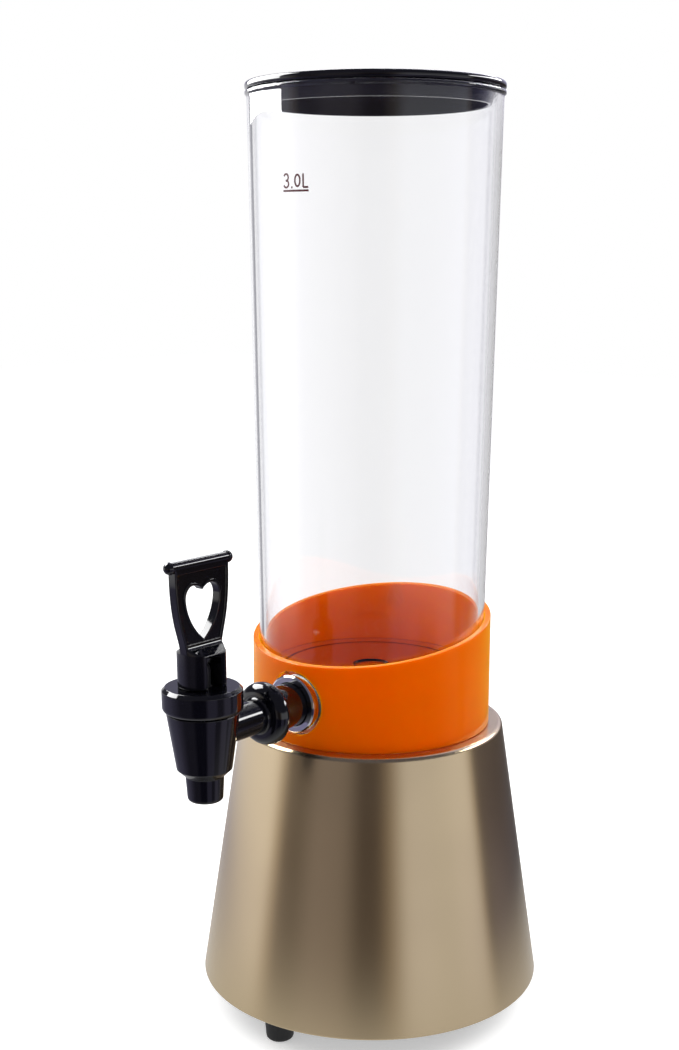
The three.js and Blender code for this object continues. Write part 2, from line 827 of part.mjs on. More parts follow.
// Adds curves given as shares to an outline, on one side (1) or mirrored and backwards (-1)
function addCurves(shape, start, curves, place, side) {
  const points = [start, ...curves.flat()];
  const order = side > 0 ? points : points.reverse();
  for (let i = 1; i < order.length; i += 3) {
    shape.bezierCurveTo(...[0, 1, 2].flatMap((step) => place(order[i + step], side)));
  }
}

// Outline of the handle's plate in Y and Z, drawn in by an inset
function plateOutline(inset) {
  const foot = shoulder - plateRoot;
  const height = barLevel - foot;
  const place = ([across, up], side) => [side * (plateHalfWidth * across - inset), foot + height * up];
  const shape = new THREE.Shape();
  shape.moveTo(...place(plateStartShares, 1));
  addCurves(shape, plateStartShares, plateSideShares, place, 1);
  shape.lineTo(plateHalfWidth - inset, barLevel);
  shape.lineTo(inset - plateHalfWidth, barLevel);
  shape.lineTo(...place(plateSideShares[0][2], -1));
  addCurves(shape, plateStartShares, plateSideShares, place, -1);
  return shape;
}

// Heart outline in Y and Z, widened all round by a rim
function heartOutline(rim) {
  const foot = heartFoot - rim;
  const place = ([across, up], side) => [
    side * (heartHalfWidth + rim) * across,
    foot + (heartHeight + 2 * rim) * up,
  ];
  const shape = new THREE.Shape();
  shape.moveTo(0, foot);
  addCurves(shape, [0, 0], heartSideShares, place, 1);
  addCurves(shape, [0, 0], heartSideShares, place, -1);
  return shape;
}

// Handle: a round fork block with two flats that rolls on the bonnet, a plate with a
// heart-shaped hole and a bar
function handle() {
  const fork = new THREE.Shape();
  const roundX = blockHalfX - blockFootRound;
  const roundZ = blockFoot + blockFootRound;
  fork.moveTo(-roundX, blockFoot);
  fork.lineTo(roundX, blockFoot);
  fork.absarc(roundX, roundZ, blockFootRound, -quarterTurn, 0, false);
  fork.lineTo(blockHalfX, shoulder);
  fork.lineTo(plateHalfThick, shoulder + blockBevel);
  fork.lineTo(-plateHalfThick, shoulder + blockBevel);
  fork.lineTo(-blockHalfX, shoulder);
  fork.absarc(-roundX, roundZ, blockFootRound, 2 * quarterTurn, 3 * quarterTurn, false);
  const forkBlock = shared(
    prismAlongY(fork, 2 * (blockRadius + overrun)),
    rod(blockRadius, blockFoot - overrun, shoulder + blockBevel + overrun, tapSides),
  );
  const plate = prismAlongX(plateOutline(0), 2 * plateHalfThick);
  const endStart = barHalfLength - barEndLength;
  const bar = turnedAlongY([
    [0, -barHalfLength],
    ...corner(0, barEndRadius - barHalfLength, barEndRadius, -quarterTurn, 0),
    [barRadius, -endStart],
    [barRadius, endStart],
    ...corner(0, barHalfLength - barEndRadius, barEndRadius, 0, quarterTurn),
    [0, barHalfLength],
  ], smallSides).translate(0, 0, barLevel);
  const slot = block(
    [-blockHalfX - overrun, -slotHalf, blockFoot - overrun],
    [blockHalfX + overrun, slotHalf, shoulder - slotRoof],
  );
  const pinHole = rodAlongY(pinRadius + runGap, -blockRadius - overrun, blockRadius + overrun, smallSides);
  const heart = prismAlongX(heartOutline(0), 2 * (plateHalfThick + overrun));
  const window = block(
    [-plateHalfThick - overrun, -plateHalfWidth, shoulder + blockBevel + panelRim],
    [plateHalfThick + overrun, plateHalfWidth, barLevel - barRadius - panelRim / 2],
  );
  const panel = cut(
    shared(prismAlongX(plateOutline(panelRim), 2 * plateHalfThick), window),
    prismAlongX(heartOutline(heartRim), 2 * (plateHalfThick + overrun)),
  );
  const panelOffset = 2 * plateHalfThick - panelDepth;
  return cut(
    joined(forkBlock, plate, bar),
    slot,
    pinHole.translate(0, 0, pinLevel),
    heart,
    panel.clone().translate(panelOffset, 0, 0),
    panel.translate(-panelOffset, 0, 0),
  );
}

function handlePin() {
  const half = blockRadius - pinRecess;
  return rodAlongY(pinRadius, -half, half, smallSides).translate(0, 0, pinLevel);
}

// Tower: everything that is centred on the tube's axis
const tower = new THREE.Group();
tower.position.y = towerY;
tower.add(piece('base_shell', baseShell(), finishes.satinGold));
tower.add(piece('bottom_plate', bottomPlate(), finishes.mattBlack));
around(footCount, footCircle, 0).forEach(([x, y], i) => {
  const rubberFoot = piece(`foot_${i + 1}`, foot(), finishes.rubber);
  const footScrew = piece(
    `foot_screw_${i + 1}`,
    screw(footBoreDepth - seatGap, footScrewHeadRadius, footScrewHead, footScrewRadius, footScrewLength),
    finishes.steel,
  );
  rubberFoot.position.set(x, y, 0);
  footScrew.position.set(x, y, 0);
  tower.add(rubberFoot, footScrew);
});
around(footCount, plateScrewCircle, 0.5).forEach(([x, y], i) => {
  const plateScrew = piece(
    `plate_screw_${i + 1}`,
    screw(plateBottom - seatGap, plateScrewHeadRadius, plateScrewHead, plateScrewRadius, plateScrewLength),
    finishes.steel,
  );
  plateScrew.position.set(x, y, 0);
  tower.add(plateScrew);
});
tower.add(piece('tube', tube(), finishes.clear));
tower.add(piece('tube_washer', tubeWasher(), finishes.rubber));
tower.add(piece('tube_nut', tubeNut(), finishes.mattBlack));
tower.add(piece('collar', collar(), finishes.orange));
tower.add(piece('floor_insert', floorInsert(), finishes.clear));
tower.add(piece('lid', lid(), finishes.glossBlack));

// Tap: its own axis is the spout's, and +Y points to the tower
const tap = new THREE.Group();
tap.position.y = towerY - tapReach;
tap.add(piece('tap_body', tapBody(), finishes.glossBlack));
tap.add(piece('bonnet', bonnet(), finishes.glossBlack));
tap.add(piece('outer_gasket', outerGasket(), finishes.rubber));
tap.add(piece('inner_gasket', innerGasket(), finishes.rubber));
tap.add(piece('trim_ring', trimRing(), finishes.steel));
tap.add(piece('shank_nut', shankNut(), finishes.mattBlack));
tap.add(piece('valve_stem', valveStem(), finishes.mattBlack));
tap.add(piece('valve_cup', valveCup(), finishes.silicone));
tap.add(piece('valve_spring', valveSpring(), finishes.steel));
tap.add(piece('handle', handle(), finishes.glossBlack));
tap.add(piece('handle_pin', handlePin(), finishes.steel));

const group = new THREE.Group();
group.add(tower, tap);
export default group;
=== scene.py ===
"""Countertop drink dispenser with a lever tap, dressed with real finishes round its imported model.

Laid out as an add-on and run as a script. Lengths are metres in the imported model's frame.
"""

import math

import bmesh
import bpy
from bpy.props import FloatProperty, FloatVectorProperty, PointerProperty
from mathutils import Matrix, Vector


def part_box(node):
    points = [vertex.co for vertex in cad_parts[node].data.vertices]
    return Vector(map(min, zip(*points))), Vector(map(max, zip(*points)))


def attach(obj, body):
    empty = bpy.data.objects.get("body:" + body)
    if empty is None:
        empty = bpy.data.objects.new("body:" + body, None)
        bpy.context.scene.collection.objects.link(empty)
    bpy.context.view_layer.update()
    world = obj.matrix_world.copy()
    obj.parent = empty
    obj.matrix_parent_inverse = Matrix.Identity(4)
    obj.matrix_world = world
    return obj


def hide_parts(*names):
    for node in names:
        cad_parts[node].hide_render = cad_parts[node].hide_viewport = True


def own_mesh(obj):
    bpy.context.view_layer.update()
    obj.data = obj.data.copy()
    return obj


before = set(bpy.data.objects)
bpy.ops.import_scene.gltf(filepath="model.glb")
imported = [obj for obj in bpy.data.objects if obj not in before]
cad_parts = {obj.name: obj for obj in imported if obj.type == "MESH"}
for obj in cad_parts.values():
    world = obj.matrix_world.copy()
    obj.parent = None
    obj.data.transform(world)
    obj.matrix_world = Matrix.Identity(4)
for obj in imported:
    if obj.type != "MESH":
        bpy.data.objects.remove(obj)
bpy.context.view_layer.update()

bl_info = {
    "name": "Drink dispenser finishes",
    "version": (1, 0, 0),
    "blender": (4, 5, 0),
    "location": "View3D > Sidebar > Dispenser",
    "description": "Builds the dispenser's visible pieces, finishes, light and camera",
    "category": "Object",
}

MM = 0.001
QUARTER = math.pi / 2
OVERRUN = 1 * MM  # how far a cutter runs past the face that it cuts
GUARD = 0.15 * MM  # row beside a round edge, so that the flat next to it shades flat
ROW = 3 * MM  # longest facet of a slope that a cut leaves evenly shaded
PLAY = 0.3 * MM  # room between a shaft and its hole
ON_AXIS = 0.001 * MM  # nearer to an axis than this counts as on it
SHARP_EDGE = math.radians(33)  # steeper edges than this shade as edges
TOWER_FACETS = 256
TAP_FACETS = 128
FOOT_FACETS = 64
BORE_FACETS = 64
BAR_FACETS = 48
POST_FACETS = 32  # also of the pin's hole
PILOT_FACETS = 24
ARC_STEPS = 6  # facets across a round edge

TOWER_Y = sum(corner.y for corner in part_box("tube")) / 2
TAP_Y = sum(corner.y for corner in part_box("bonnet")) / 2
ARM_Z = sum(corner.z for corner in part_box("trim_ring")) / 2
STAND_FOOT, STAND_TOP = (corner.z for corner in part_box("base_shell"))
TUBE_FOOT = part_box("collar")[0].z
TUBE_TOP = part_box("tube")[1].z
TOWER = (0, TOWER_Y, 0)
TAP = (0, TAP_Y, 0)
CONE_FOOT_Z = ARM_Z - 17.7 * MM
CONE_TOP_Z = ARM_Z + 11.7 * MM
BONNET_FOOT, BONNET_TOP = (corner.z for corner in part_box("bonnet"))
BLOCK_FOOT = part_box("handle")[0].z
SPRING_STEPS = 24  # places on each turn of the valve spring
WIRE_FACETS = 8
POST_FOOT = 3.3 * MM  # from the bottom plate's underside up to the screw posts
PILOT_HOLE = 1.75 * MM  # radius of the hole in a post
PILOT_ROOF = 3.6 * MM  # what is left of the post above its hole
INK = (0.01 * MM, 0.06 * MM)  # underside and face of the printed ink above the tube
SLOT_STRAIGHT = 8.7 * MM  # the fork's slot widens from here outwards
SLOT_FLARE = 2.3 * MM  # how far it has widened where it ends
CUT_START = 80 * MM  # from the tower's axis to in front of the collar


def size(name, millimetres, description):
    """A length that a user may change, given in millimetres."""
    return FloatProperty(
        name=name, description=description, default=millimetres * MM, unit="LENGTH", precision=5
    )


def share(name, value, description):
    """A number from 0 to 1 that a user may change."""
    return FloatProperty(
        name=name, description=description, default=value, min=0, max=1, subtype="FACTOR"
    )


def linear(code):
    """Linear red, green and blue of an sRGB hex colour."""
    parts = (int(code[i : i + 2], 16) / 255 for i in (1, 3, 5))
    return tuple(c / 12.92 if c <= 0.04045 else ((c + 0.055) / 1.055) ** 2.4 for c in parts)


def colour(name, code, description):
    """A colour that a user may change, given as sRGB hex."""
    return FloatVectorProperty(
        name=name, description=description, default=linear(code), size=3, subtype="COLOR"
    )


class DispenserStand(bpy.types.PropertyGroup):
    """Sizes and finish of the stand and its feet."""

    foot_radius: size("Foot radius", 97, "Radius of the stand's lower rim")
    top_radius: size("Top radius", 73, "Radius of the stand's top")
    wall: size("Wall", 2.4, "Thickness of the stand's side")
    top_thick: size("Top", 3, "Thickness of the stand's top")
    edge_round: size("Top edge", 2.5, "Round of the stand's top edge")
    rim_round: size("Rim round", 0.8, "Round of the stand's lower rim")
    boss_radius: size("Boss radius", 5, "Radius of the posts for the plate's screws")
    boss_height: size("Boss height", 14, "Height of those posts")
    boss_circle: size("Boss circle", 86.5, "Radius of the circle of those posts")
    web: size("Web", 4, "Thickness of the webs from those posts to the wall")
    foot_tip: size("Foot tip", 7.5, "Radius of a rubber foot on the table")
    foot_top: size("Foot top", 9, "Radius of a rubber foot under the bottom plate")
    foot_round: size("Foot round", 2.4, "Round of a foot's lower edge")
    foot_bore: size("Foot bore", 3, "Radius of the recess for a foot's screw")
    foot_bore_depth: size("Bore depth", 10, "Depth of that recess")
    foot_hole: size("Foot hole", 1.9, "Radius of the hole for a foot's screw")
    metal: colour("Metal", "#C8B594", "Champagne tone of the anodised aluminium")
    roughness: share("Roughness", 0.26, "How far the metal spreads reflections")
    anisotropy: share("Spun sheen", 0.55, "How far the grain draws reflections out upwards")
    grain: size("Grain", 0.5, "Width of the spun grain's lines, drawn coarse enough to show")
    cloud: size("Cloud", 45, "Size of the slow changes in the anodised sheen")


class DispenserVessel(bpy.types.PropertyGroup):
    """Sizes and finish of the tube, its mark, the collar, the false floor and the lid."""

    foot_radius: size("Tube foot", 61, "Outside radius of the tube at its foot")
    draft: size("Draft", 2.5, "How much wider the tube is at its mouth")
    wall: size("Wall", 3.2, "Thickness of the tube's wall and floor")
    foot_round: size("Foot round", 1.5, "Round under the tube's foot")
    inner_round: size("Inner round", 3, "Round between the tube's wall and floor")
    lip: size("Lip", 1, "How far the lip stands out at the mouth")
    lip_height: size("Lip height", 2.4, "Height of that lip")
    lip_round: size("Lip round", 0.8, "Round of that lip")
    spigot_radius: size("Spigot", 16, "Radius of the threaded spigot under the tube")
    spigot_wall: size("Spigot wall", 3.5, "Thickness of that spigot")
    spigot_length: size("Spigot length", 22, "Length of that spigot")
    shank_hole: size("Shank hole", 8.1, "Radius of the hole for the tap's shank")
    collar_room: size("Collar room", 1.4, "Room between the collar's foot and the tube")
    collar_wall: size("Collar wall", 3.2, "Thickness of the collar")
    collar_draft: size("Collar draft", 0.6, "How much wider the collar is at its foot")
    collar_height: size("Collar height", 54.42, "Height of the slanted edge at the tube's axis")
    collar_edge: size("Collar edge", 0.5, "Round of the collar's edges")
    collar_hole: size("Collar hole", 17.4, "Radius of the hole round the steel ring")
    collar_slant: FloatProperty(
        name="Slant", description="Slant of the collar's edge, low at the tap",
        default=math.radians(8.94), subtype="ANGLE",
    )
    insert_thick: size("Floor thickness", 2, "Thickness of the false floor")
    insert_gap: size("Floor gap", 0.4, "Gap between the false floor's edge and the tube")
    insert_ledge: size("Floor ledge", 7.6, "How far the false floor stands out past its skirt")
    insert_skirt: size("Skirt wall", 2, "Thickness of the false floor's skirt")
    insert_drain: size("Drain", 9, "Radius of the drain hole")
    insert_drain_lip: size("Drain lip", 1.2, "Width of the slope round the drain hole")
    insert_notch: size("Notch", 16, "Half width of the notch for the tap's nut")
    insert_notch_past: size("Notch depth", 2, "Notch past the tap's shank")
    lid_rim: size("Lid rim", 3.7, "Height of the lid's rim")
    lid_round: size("Lid round", 1.5, "Round of the lid's upper edge")
    lid_under_round: size("Lid under", 1.4, "Round of the lid's lower edge")
    lid_top_thick: size("Lid top", 2.6, "Thickness of the lid's top")
    lid_band: size("Lid band", 7.5, "From the lid's edge to its sunk panel")
    lid_panel_drop: size("Panel drop", 0.8, "How far the panel is sunk")
    lid_panel_slope: size("Panel slope", 1.2, "Width of the slope round the panel")
    lid_plug_depth: size("Plug depth", 7.3, "How far the plug reaches into the tube")
    lid_plug_gap: size("Plug gap", 0.4, "Gap between the plug's top and the tube")
    lid_plug_taper: size("Plug taper", 2.4, "How much narrower the plug is at its foot")
    lid_plug_wall: size("Plug wall", 2.2, "Thickness of the plug's wall")
    mark_height: size("Mark height", 6, "Height of the capacity mark's figures")
    mark_line: size("Mark line", 443.5, "Height of the fill line above the table")
    mark_stroke: size("Mark stroke", 0.92, "Width of the mark's strokes")
    mark_left: size("Mark left", -4.5, "Where the mark begins, from the tap's side")
    clear: colour("Clear plastic", "#FEFEFF", "Tint of the clear plastic")
    orange: colour("Collar", "#984200", "Orange of the collar")
    black: colour("Lid", "#05050A", "Black of the lid")
    ink: colour("Mark", "#4A0615", "Maroon of the printed mark")


class DispenserTap(bpy.types.PropertyGroup):
    """Sizes and finish of the tap, its ring, its cap and its handle."""

    cone_top: size("Cone top", 18.2, "Radius of the tap's cone at its top")
    cone_foot: size("Cone foot", 13.9, "Radius of the tap's cone at its foot")
    cone_ledge: size("Cone ledge", 1.8, "Flat of the cone's top round its neck")
    shoulder: size("Shoulder", 3.9, "From the cone's foot down to the spout")
    spout_top: size("Spout top", 9.7, "Radius of the spout at its top")
    spout_tip: size("Spout tip", 8.9, "Radius of the spout at its tip")
    spout_length: size("Spout", 13, "Length of the spout")
    spout_round: size("Spout round", 2, "Round of the spout's tip")
    spout_bore: size("Spout bore", 5.8, "Radius of the spout's bore")
    chamber_foot: size("Chamber foot", 10.4, "Radius of the valve's chamber at its foot")
    chamber_top: size("Chamber top", 13.6, "Radius of the valve's chamber at its top")
    seat_rise: size("Seat rise", 0.8, "Valve seat above the cone's foot")
    seat_height: size("Seat height", 4, "From the seat up to the chamber's foot")
    neck_top: size("Threaded neck", 20.9, "Top of that neck above the arm's axis")
    arm_radius: size("Arm", 9, "Radius of the tap's arm")
    arm_bore: size("Arm bore", 4.2, "Radius of the arm's bore")
    arm_start: size("Arm start", 8, "Where the arm begins inside the cone")
    flange_radius: size("Flange", 16.5, "Radius of the fat flange")
    flange_thick: size("Flange thickness", 9, "Thickness of the flange")
    flange_front: size("Flange front", 5.6, "Round of the flange's front edge")
    flange_back: size("Flange back", 2.4, "Round of the flange's back edge")
    flange_fillet: size("Flange fillet", 1.5, "Fillet between the arm and the flange")
    neck_radius: size("Neck", 11.5, "Radius of the neck behind the flange")
    neck_length: size("Neck length", 21.4, "Length of that neck")
    shank_radius: size("Shank", 7.8, "Radius of the threaded shank")
    shank_length: size("Shank length", 18.9, "Length of that shank")
    trim_radius: size("Ring", 15.5, "Radius of the steel ring")
    trim_chamfer: size("Ring chamfer", 0.8, "Chamfer of the steel ring")
    spring_wire: size("Spring wire", 0.55, "Radius of the valve spring's wire")
    spring_turns: FloatProperty(
        name="Spring turns", description="Turns of the valve spring", default=6.5
    )
    bonnet_radius: size("Cap", 20, "Radius of the screw cap")
    bonnet_wall: size("Cap wall", 3.3, "Thickness of the screw cap's wall")
    bonnet_top: size("Cap top", 3.4, "Thickness of the screw cap's top")
    bonnet_chamfer: size("Cap chamfer", 1.7, "Chamfer of the screw cap's top edge")
    bonnet_round: size("Cap foot", 2.6, "Round of the screw cap's foot")
    stem_hole: size("Stem hole", 4.6, "Radius of the screw cap's hole")
    block_radius: size("Block", 12, "Radius of the handle's round fork block")
    block_flat: size("Block flats", 9.75, "From the block's axis to its flats")
    block_corner: size("Flat's edge", 0.6, "Round of the upright edges of those flats")
    block_foot: size("Block foot", 1.1, "Round foot on which the block rolls")
    block_height: size("Block height", 17.2, "Height of the block's straight part")
    block_bevel: size("Block bevel", 3, "Height of the slope from the block to the plate")
    block_fillet: size("Block fillet", 2.6, "Fillet between that slope and the plate")
    slot_half: size("Slot", 4.75, "Half the fork's slot")
    slot_roof: size("Slot roof", 1.6, "Block left above the slot")
    pin_hole: size("Pin hole", 1.8, "Radius of the pin's blind hole")
    pin_height: size("Pin height", 7.8, "Pin above the block's foot")
    plate_half_width: size("Plate", 17.8, "Half the handle plate's width at the bar")
    plate_half_thick: size("Plate thickness", 2.4, "Half the handle plate's thickness")
    plate_root: size("Plate root", 4.5, "How deep the plate reaches into the block")
    panel_depth: size("Panel", 0.6, "How far the plate's panels are sunk")
    panel_rim: size("Rim", 2.2, "Width of the raised rim round the plate")
    heart_half_width: size("Heart", 11.2, "Half the width of the heart-shaped hole")
    heart_height: size("Heart height", 26.7, "Height of the heart-shaped hole")
    heart_rise: size("Heart rise", 3.6, "Heart's tip above the block")
    heart_head: size("Heart head", 10, "From the heart's top to the bar's axis")
    heart_rim: size("Heart rim", 1.5, "Width of the raised rim round the heart")
    bar_radius: size("Bar", 2.5, "Radius of the cross bar")
    bar_end: size("Bar end", 3, "Radius of the knobs at its ends")
    bar_overhang: size("Bar overhang", 4.2, "Bar past the plate's edge")
    bar_end_length: size("Knob length", 3.4, "Length of a knob")
    black: colour("Tap", "#040408", "Black of the tap and its handle")
    steel: colour("Ring", "#C6C7CC", "Tone of the polished steel")


class DispenserStage(bpy.types.PropertyGroup):
    """Camera, floor and light."""

    camera_place: FloatVectorProperty(
        name="Camera", description="Where the camera stands", size=3, subtype="TRANSLATION",
        unit="LENGTH", default=(0.4998, -0.5949, 0.4185),
    )
    camera_look: FloatVectorProperty(
        name="View", description="Direction that the camera looks in", size=3,
        subtype="DIRECTION", default=(-0.610, 0.727, -0.314),
    )
    lens: FloatProperty(
        name="Focal length", description="For a sensor whose long side is 36 mm",
        default=51.137, unit="CAMERA",
    )
    rise: FloatProperty(
        name="Lens rise", description="Upward shift of the view", default=0.2048
    )
    floor: size("Floor", 8000, "Side of the square floor")
    floor_white: colour("Floor", "#F8F8F8", "White of the floor")
    floor_glow: FloatProperty(
        name="Floor glow", description="Light that the floor gives off", default=0.42,
        min=0,
    )
    mirror_start: size("Bright floor", 120, "Gloss mirrors the white floor out to here")
    mirror_end: size("Dim floor", 330, "Gloss mirrors the dim room from here on")
    mirror_glow: FloatProperty(
        name="Mirrored floor", description="Brightness of the mirrored floor",
        default=0.7, min=0,
    )
    ambient: FloatProperty(
        name="Room light", description="Even light from all round", default=0.62, min=0
    )
    fill: FloatProperty(
        name="Fill light", description="Strength of the two soft lamps", default=5.0, min=0
    )
    highlight: FloatProperty(
        name="Highlights", description="Radiance of the mirrored panels",
        default=15.0, min=0,
    )


GROUPS = {
    "dispenser_stand": DispenserStand,
    "dispenser_vessel": DispenserVessel,
    "dispenser_tap": DispenserTap,
    "dispenser_stage": DispenserStage,
}


# Meshes


def rounded(corners, closed, steps=ARC_STEPS):
    """Points of an outline whose (x, y) or (x, y, round) corners get true arcs."""
    points = []
    count = len(corners)
    for i, corner in enumerate(corners):
        here = Vector(corner[:2])
        radius = corner[2] if len(corner) > 2 else 0
        if not radius or (not closed and i in (0, count - 1)):
            points.append(tuple(here))
            continue
        back = Vector(corners[i - 1][:2]) - here
        ahead = Vector(corners[(i + 1) % count][:2]) - here
        half = back.angle(ahead) / 2
        run = radius / math.tan(half)
        middle = here + (back.normalized() + ahead.normalized()).normalized() * (
            radius / math.sin(half)
        )
        first = here + back.normalized() * run - middle
        last = here + ahead.normalized() * run - middle
        turn = math.atan2(first.x * last.y - first.y * last.x, first.dot(last))
        start = math.atan2(first.y, first.x)
        if back.length > run + 3 * GUARD:
            points.append(tuple(here + back.normalized() * (run + GUARD)))
        for step in range(steps + 1):
            angle = start + turn * step / steps
            points.append(
                (middle.x + radius * math.cos(angle), middle.y + radius * math.sin(angle))
            )
        if ahead.length > run + 3 * GUARD:
            points.append(tuple(here + ahead.normalized() * (run + GUARD)))
    return points


def split_long(points, longest, closed):
    """The same outline with no side longer than a length."""
    result = []
    ends = points[1:] + points[:1] if closed else points[1:]
    for here, there in zip(points, ends):
        a, b = Vector(here), Vector(there)
        parts = max(1, math.ceil((b - a).length / longest))
        result += [tuple(a.lerp(b, part / parts)) for part in range(parts)]
    return result if closed else result + [points[-1]]


def turned(points, centre, facets, along_y=False):
    """Closed mesh of (radius, distance) points turned about Z, or about Y, through a centre."""
    mesh = bmesh.new()
    rings = []
    for radius, distance in points:
        turns = range(facets) if radius > ON_AXIS else (0,)
        angles = [2 * math.pi * turn / facets for turn in turns]
        places = [(radius * math.cos(a), radius * math.sin(a), distance) for a in angles]
        if along_y:
            places = [(x, z, y) for x, y, z in places]
        rings.append([mesh.verts.new(Vector(place) + Vector(centre)) for place in places])
    on_axis = len(rings[0]) == 1
    pairs = zip(rings, rings[1:] if on_axis else rings[1:] + rings[:1])
    for lower, upper in pairs:
        for turn in range(facets):
            after = (turn + 1) % facets
            corners = (lower[turn % len(lower)], lower[after % len(lower)],
                       upper[after % len(upper)], upper[turn % len(upper)])
            face = list(dict.fromkeys(corners))
            if len(face) > 2:
                mesh.faces.new(face)
    bmesh.ops.recalc_face_normals(mesh, faces=mesh.faces)
    return mesh


def lathe(corners, centre, facets, along_y=False, longest=None):
    """Closed mesh of an outline with round corners, turned about an axis.

    An outline that begins on the axis ends there, and any other one closes on itself.
    """
    closed = corners[0][0] > 0
    points = rounded(corners, closed)
    if longest:
        points = split_long(points, longest, closed)
    return turned(points, centre, facets, along_y)


def lofted(rings, mesh=None):
    """Closed mesh through rings of the same number of places; new, or added to one."""
    if mesh is None:
        mesh = bmesh.new()
    rows = [[mesh.verts.new(place) for place in ring] for ring in rings]
    for lower, upper in zip(rows, rows[1:]):
        for i in range(len(lower)):
            mesh.faces.new((lower[i - 1], lower[i], upper[i], upper[i - 1]))
    mesh.faces.new(rows[0])
    mesh.faces.new(rows[-1])
    bmesh.ops.recalc_face_normals(mesh, faces=mesh.faces)
    return mesh


def rod(radius, start, end, centre, facets, along_y=False):
    """Closed rod between two distances on its axis."""
    line = [(0, start), (radius, start), (radius, end), (0, end)]
    return turned(line, centre, facets, along_y)


def linked(name, data):
    """Object of a mesh, curve, lamp or camera, in the scene."""
    made = bpy.data.objects.new(name, data)
    bpy.context.scene.collection.objects.link(made)
    return made


def raw(name, mesh):
    """Object of a mesh, before it is cut, finished and hung on a body."""
    data = bpy.data.meshes.new(name)
    mesh.to_mesh(data)
    mesh.free()
    return linked(name, data)


def final_mesh(made):
    """Mesh data of an object as its curve or its modifiers shape it."""
    bpy.context.view_layer.update()
    return bpy.data.meshes.new_from_object(
        made.evaluated_get(bpy.context.evaluated_depsgraph_get())
    )


def combine(made, other, operation="DIFFERENCE"):
    """Cut a closed mesh from an object, or join it on."""
    tool = raw("tool", other)
    modifier = made.modifiers.new("Shape", "BOOLEAN")
    modifier.object = tool
    modifier.operation = operation
    modifier.solver = "EXACT"
    data = final_mesh(made)
    old = made.data, tool.data
    made.modifiers.clear()
    made.data = data
    bpy.data.objects.remove(tool)
    for spent in old:
        bpy.data.meshes.remove(spent)
    data.name = made.name


def finished(made, body, material, slot, *nodes):
    """Shade an object, give it its finish, and hang it on a body in place of CAD nodes."""
    data = made.data
    data.materials.clear()
    data.materials.append(material)
    data.polygons.foreach_set("use_smooth", [True] * len(data.polygons))
    data.set_sharp_from_angle(angle=SHARP_EDGE)
    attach(made, body)
    if nodes:
        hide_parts(*nodes)


def refinish(material, *names):
    """Give CAD nodes whose shape stays a better finish."""
    for name in names:
        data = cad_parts[name].data
        data.materials.clear()
        data.materials.append(material)


# Finishes

NOISE_SPAN = (0.3, 0.7)  # where nearly all values of a noise lie
SHEEN_PLAY = 0.012  # how far the stand's roughness wanders to both sides
QUARTER_TURN = 0.25  # of the shader's tangent, so that reflections stretch upwards


def node(tree, kind, sockets=(), stops=(), **settings):
    """Add a node with its settings, its socket values or links, and a ramp's colour stops."""
    made = tree.nodes.new(kind)
    for key, value in settings.items():
        setattr(made, key, value)
    for socket, value in dict(sockets).items():
        if isinstance(value, bpy.types.NodeSocket):
            tree.links.new(value, made.inputs[socket])
        else:
            made.inputs[socket].default_value = value
    if stops:
        ramp = made.color_ramp
        while len(ramp.elements) > 1:
            ramp.elements.remove(ramp.elements[0])
        ramp.elements[0].position = stops[0][0]
        ramp.elements[0].color = (*stops[0][1], 1)
        for place, tone in stops[1:]:
            ramp.elements.new(place).color = (*tone, 1)
    return made


def new_finish(name, tone, **values):
    """A material with one Principled shader whose constants are set on its own sockets."""
    material = bpy.data.materials.new(name)
    material.use_nodes = True
    material.diffuse_color = (*tone, 1)
    shader = material.node_tree.nodes["Principled BSDF"]
    shader.inputs["Base Color"].default_value = (*tone, 1)
    for socket, value in values.items():
        shader.inputs[socket.replace("_", " ")].default_value = value
    return material, material.node_tree, shader


def grain_field(tree, cell, detail=2.0, stretch=(1, 1, 1)):
    """Noise whose cells have a real size, in metres, on the model's own coordinates."""
    place = node(tree, "ShaderNodeTexCoord").outputs["Object"]
    mapped = node(tree, "ShaderNodeMapping", {"Vector": place, "Scale": stretch})
    sockets = {"Vector": mapped.outputs["Vector"], "Scale": 1 / cell, "Detail": detail}
    return node(tree, "ShaderNodeTexNoise", sockets).outputs["Fac"]


def finish(name, tone, height, grain, spread=None, cloud=None, **values):
    """A material, made once, whose surface a grain raises by a height.

    Grain and cloud are the cell, detail and stretch of noise. The cloud, or else the grain,
    varies the roughness over the spread.
    """
    if name in bpy.data.materials:
        return bpy.data.materials[name]
    material, tree, shader = new_finish(name, tone, **values)
    raised = grain_field(tree, *grain)
    bump = node(tree, "ShaderNodeBump", {"Height": raised, "Strength": 1.0, "Distance": height})
    tree.links.new(bump.outputs["Normal"], shader.inputs["Normal"])
    if spread:
        field = grain_field(tree, *cloud) if cloud else raised
        rough = node(tree, "ShaderNodeMapRange", {
            "Value": field, "From Min": NOISE_SPAN[0], "From Max": NOISE_SPAN[1],
            "To Min": spread[0], "To Max": spread[1],
        })
        tree.links.new(rough.outputs["Result"], shader.inputs["Roughness"])
    return material


def champagne_aluminium(stand):
    """Spun aluminium, anodised champagne: satin, with its reflections drawn out upwards."""
    # The spun lines are finer than a pixel, so they are drawn as coarse as they need to show
    material = finish(
        "champagne_anodised_aluminium", stand.metal, 0.00006 * MM,
        (stand.grain, 3.0, (0.03, 0.03, 1)),
        (stand.roughness - SHEEN_PLAY, stand.roughness + SHEEN_PLAY), (stand.cloud, 1.0),
        Metallic=1.0, Anisotropic=stand.anisotropy, Anisotropic_Rotation=QUARTER_TURN,
    )
    tree = material.node_tree
    around = node(tree, "ShaderNodeTangent", direction_type="RADIAL", axis="Z")
    tree.links.new(around.outputs["Tangent"], tree.nodes["Principled BSDF"].inputs["Tangent"])
    return material


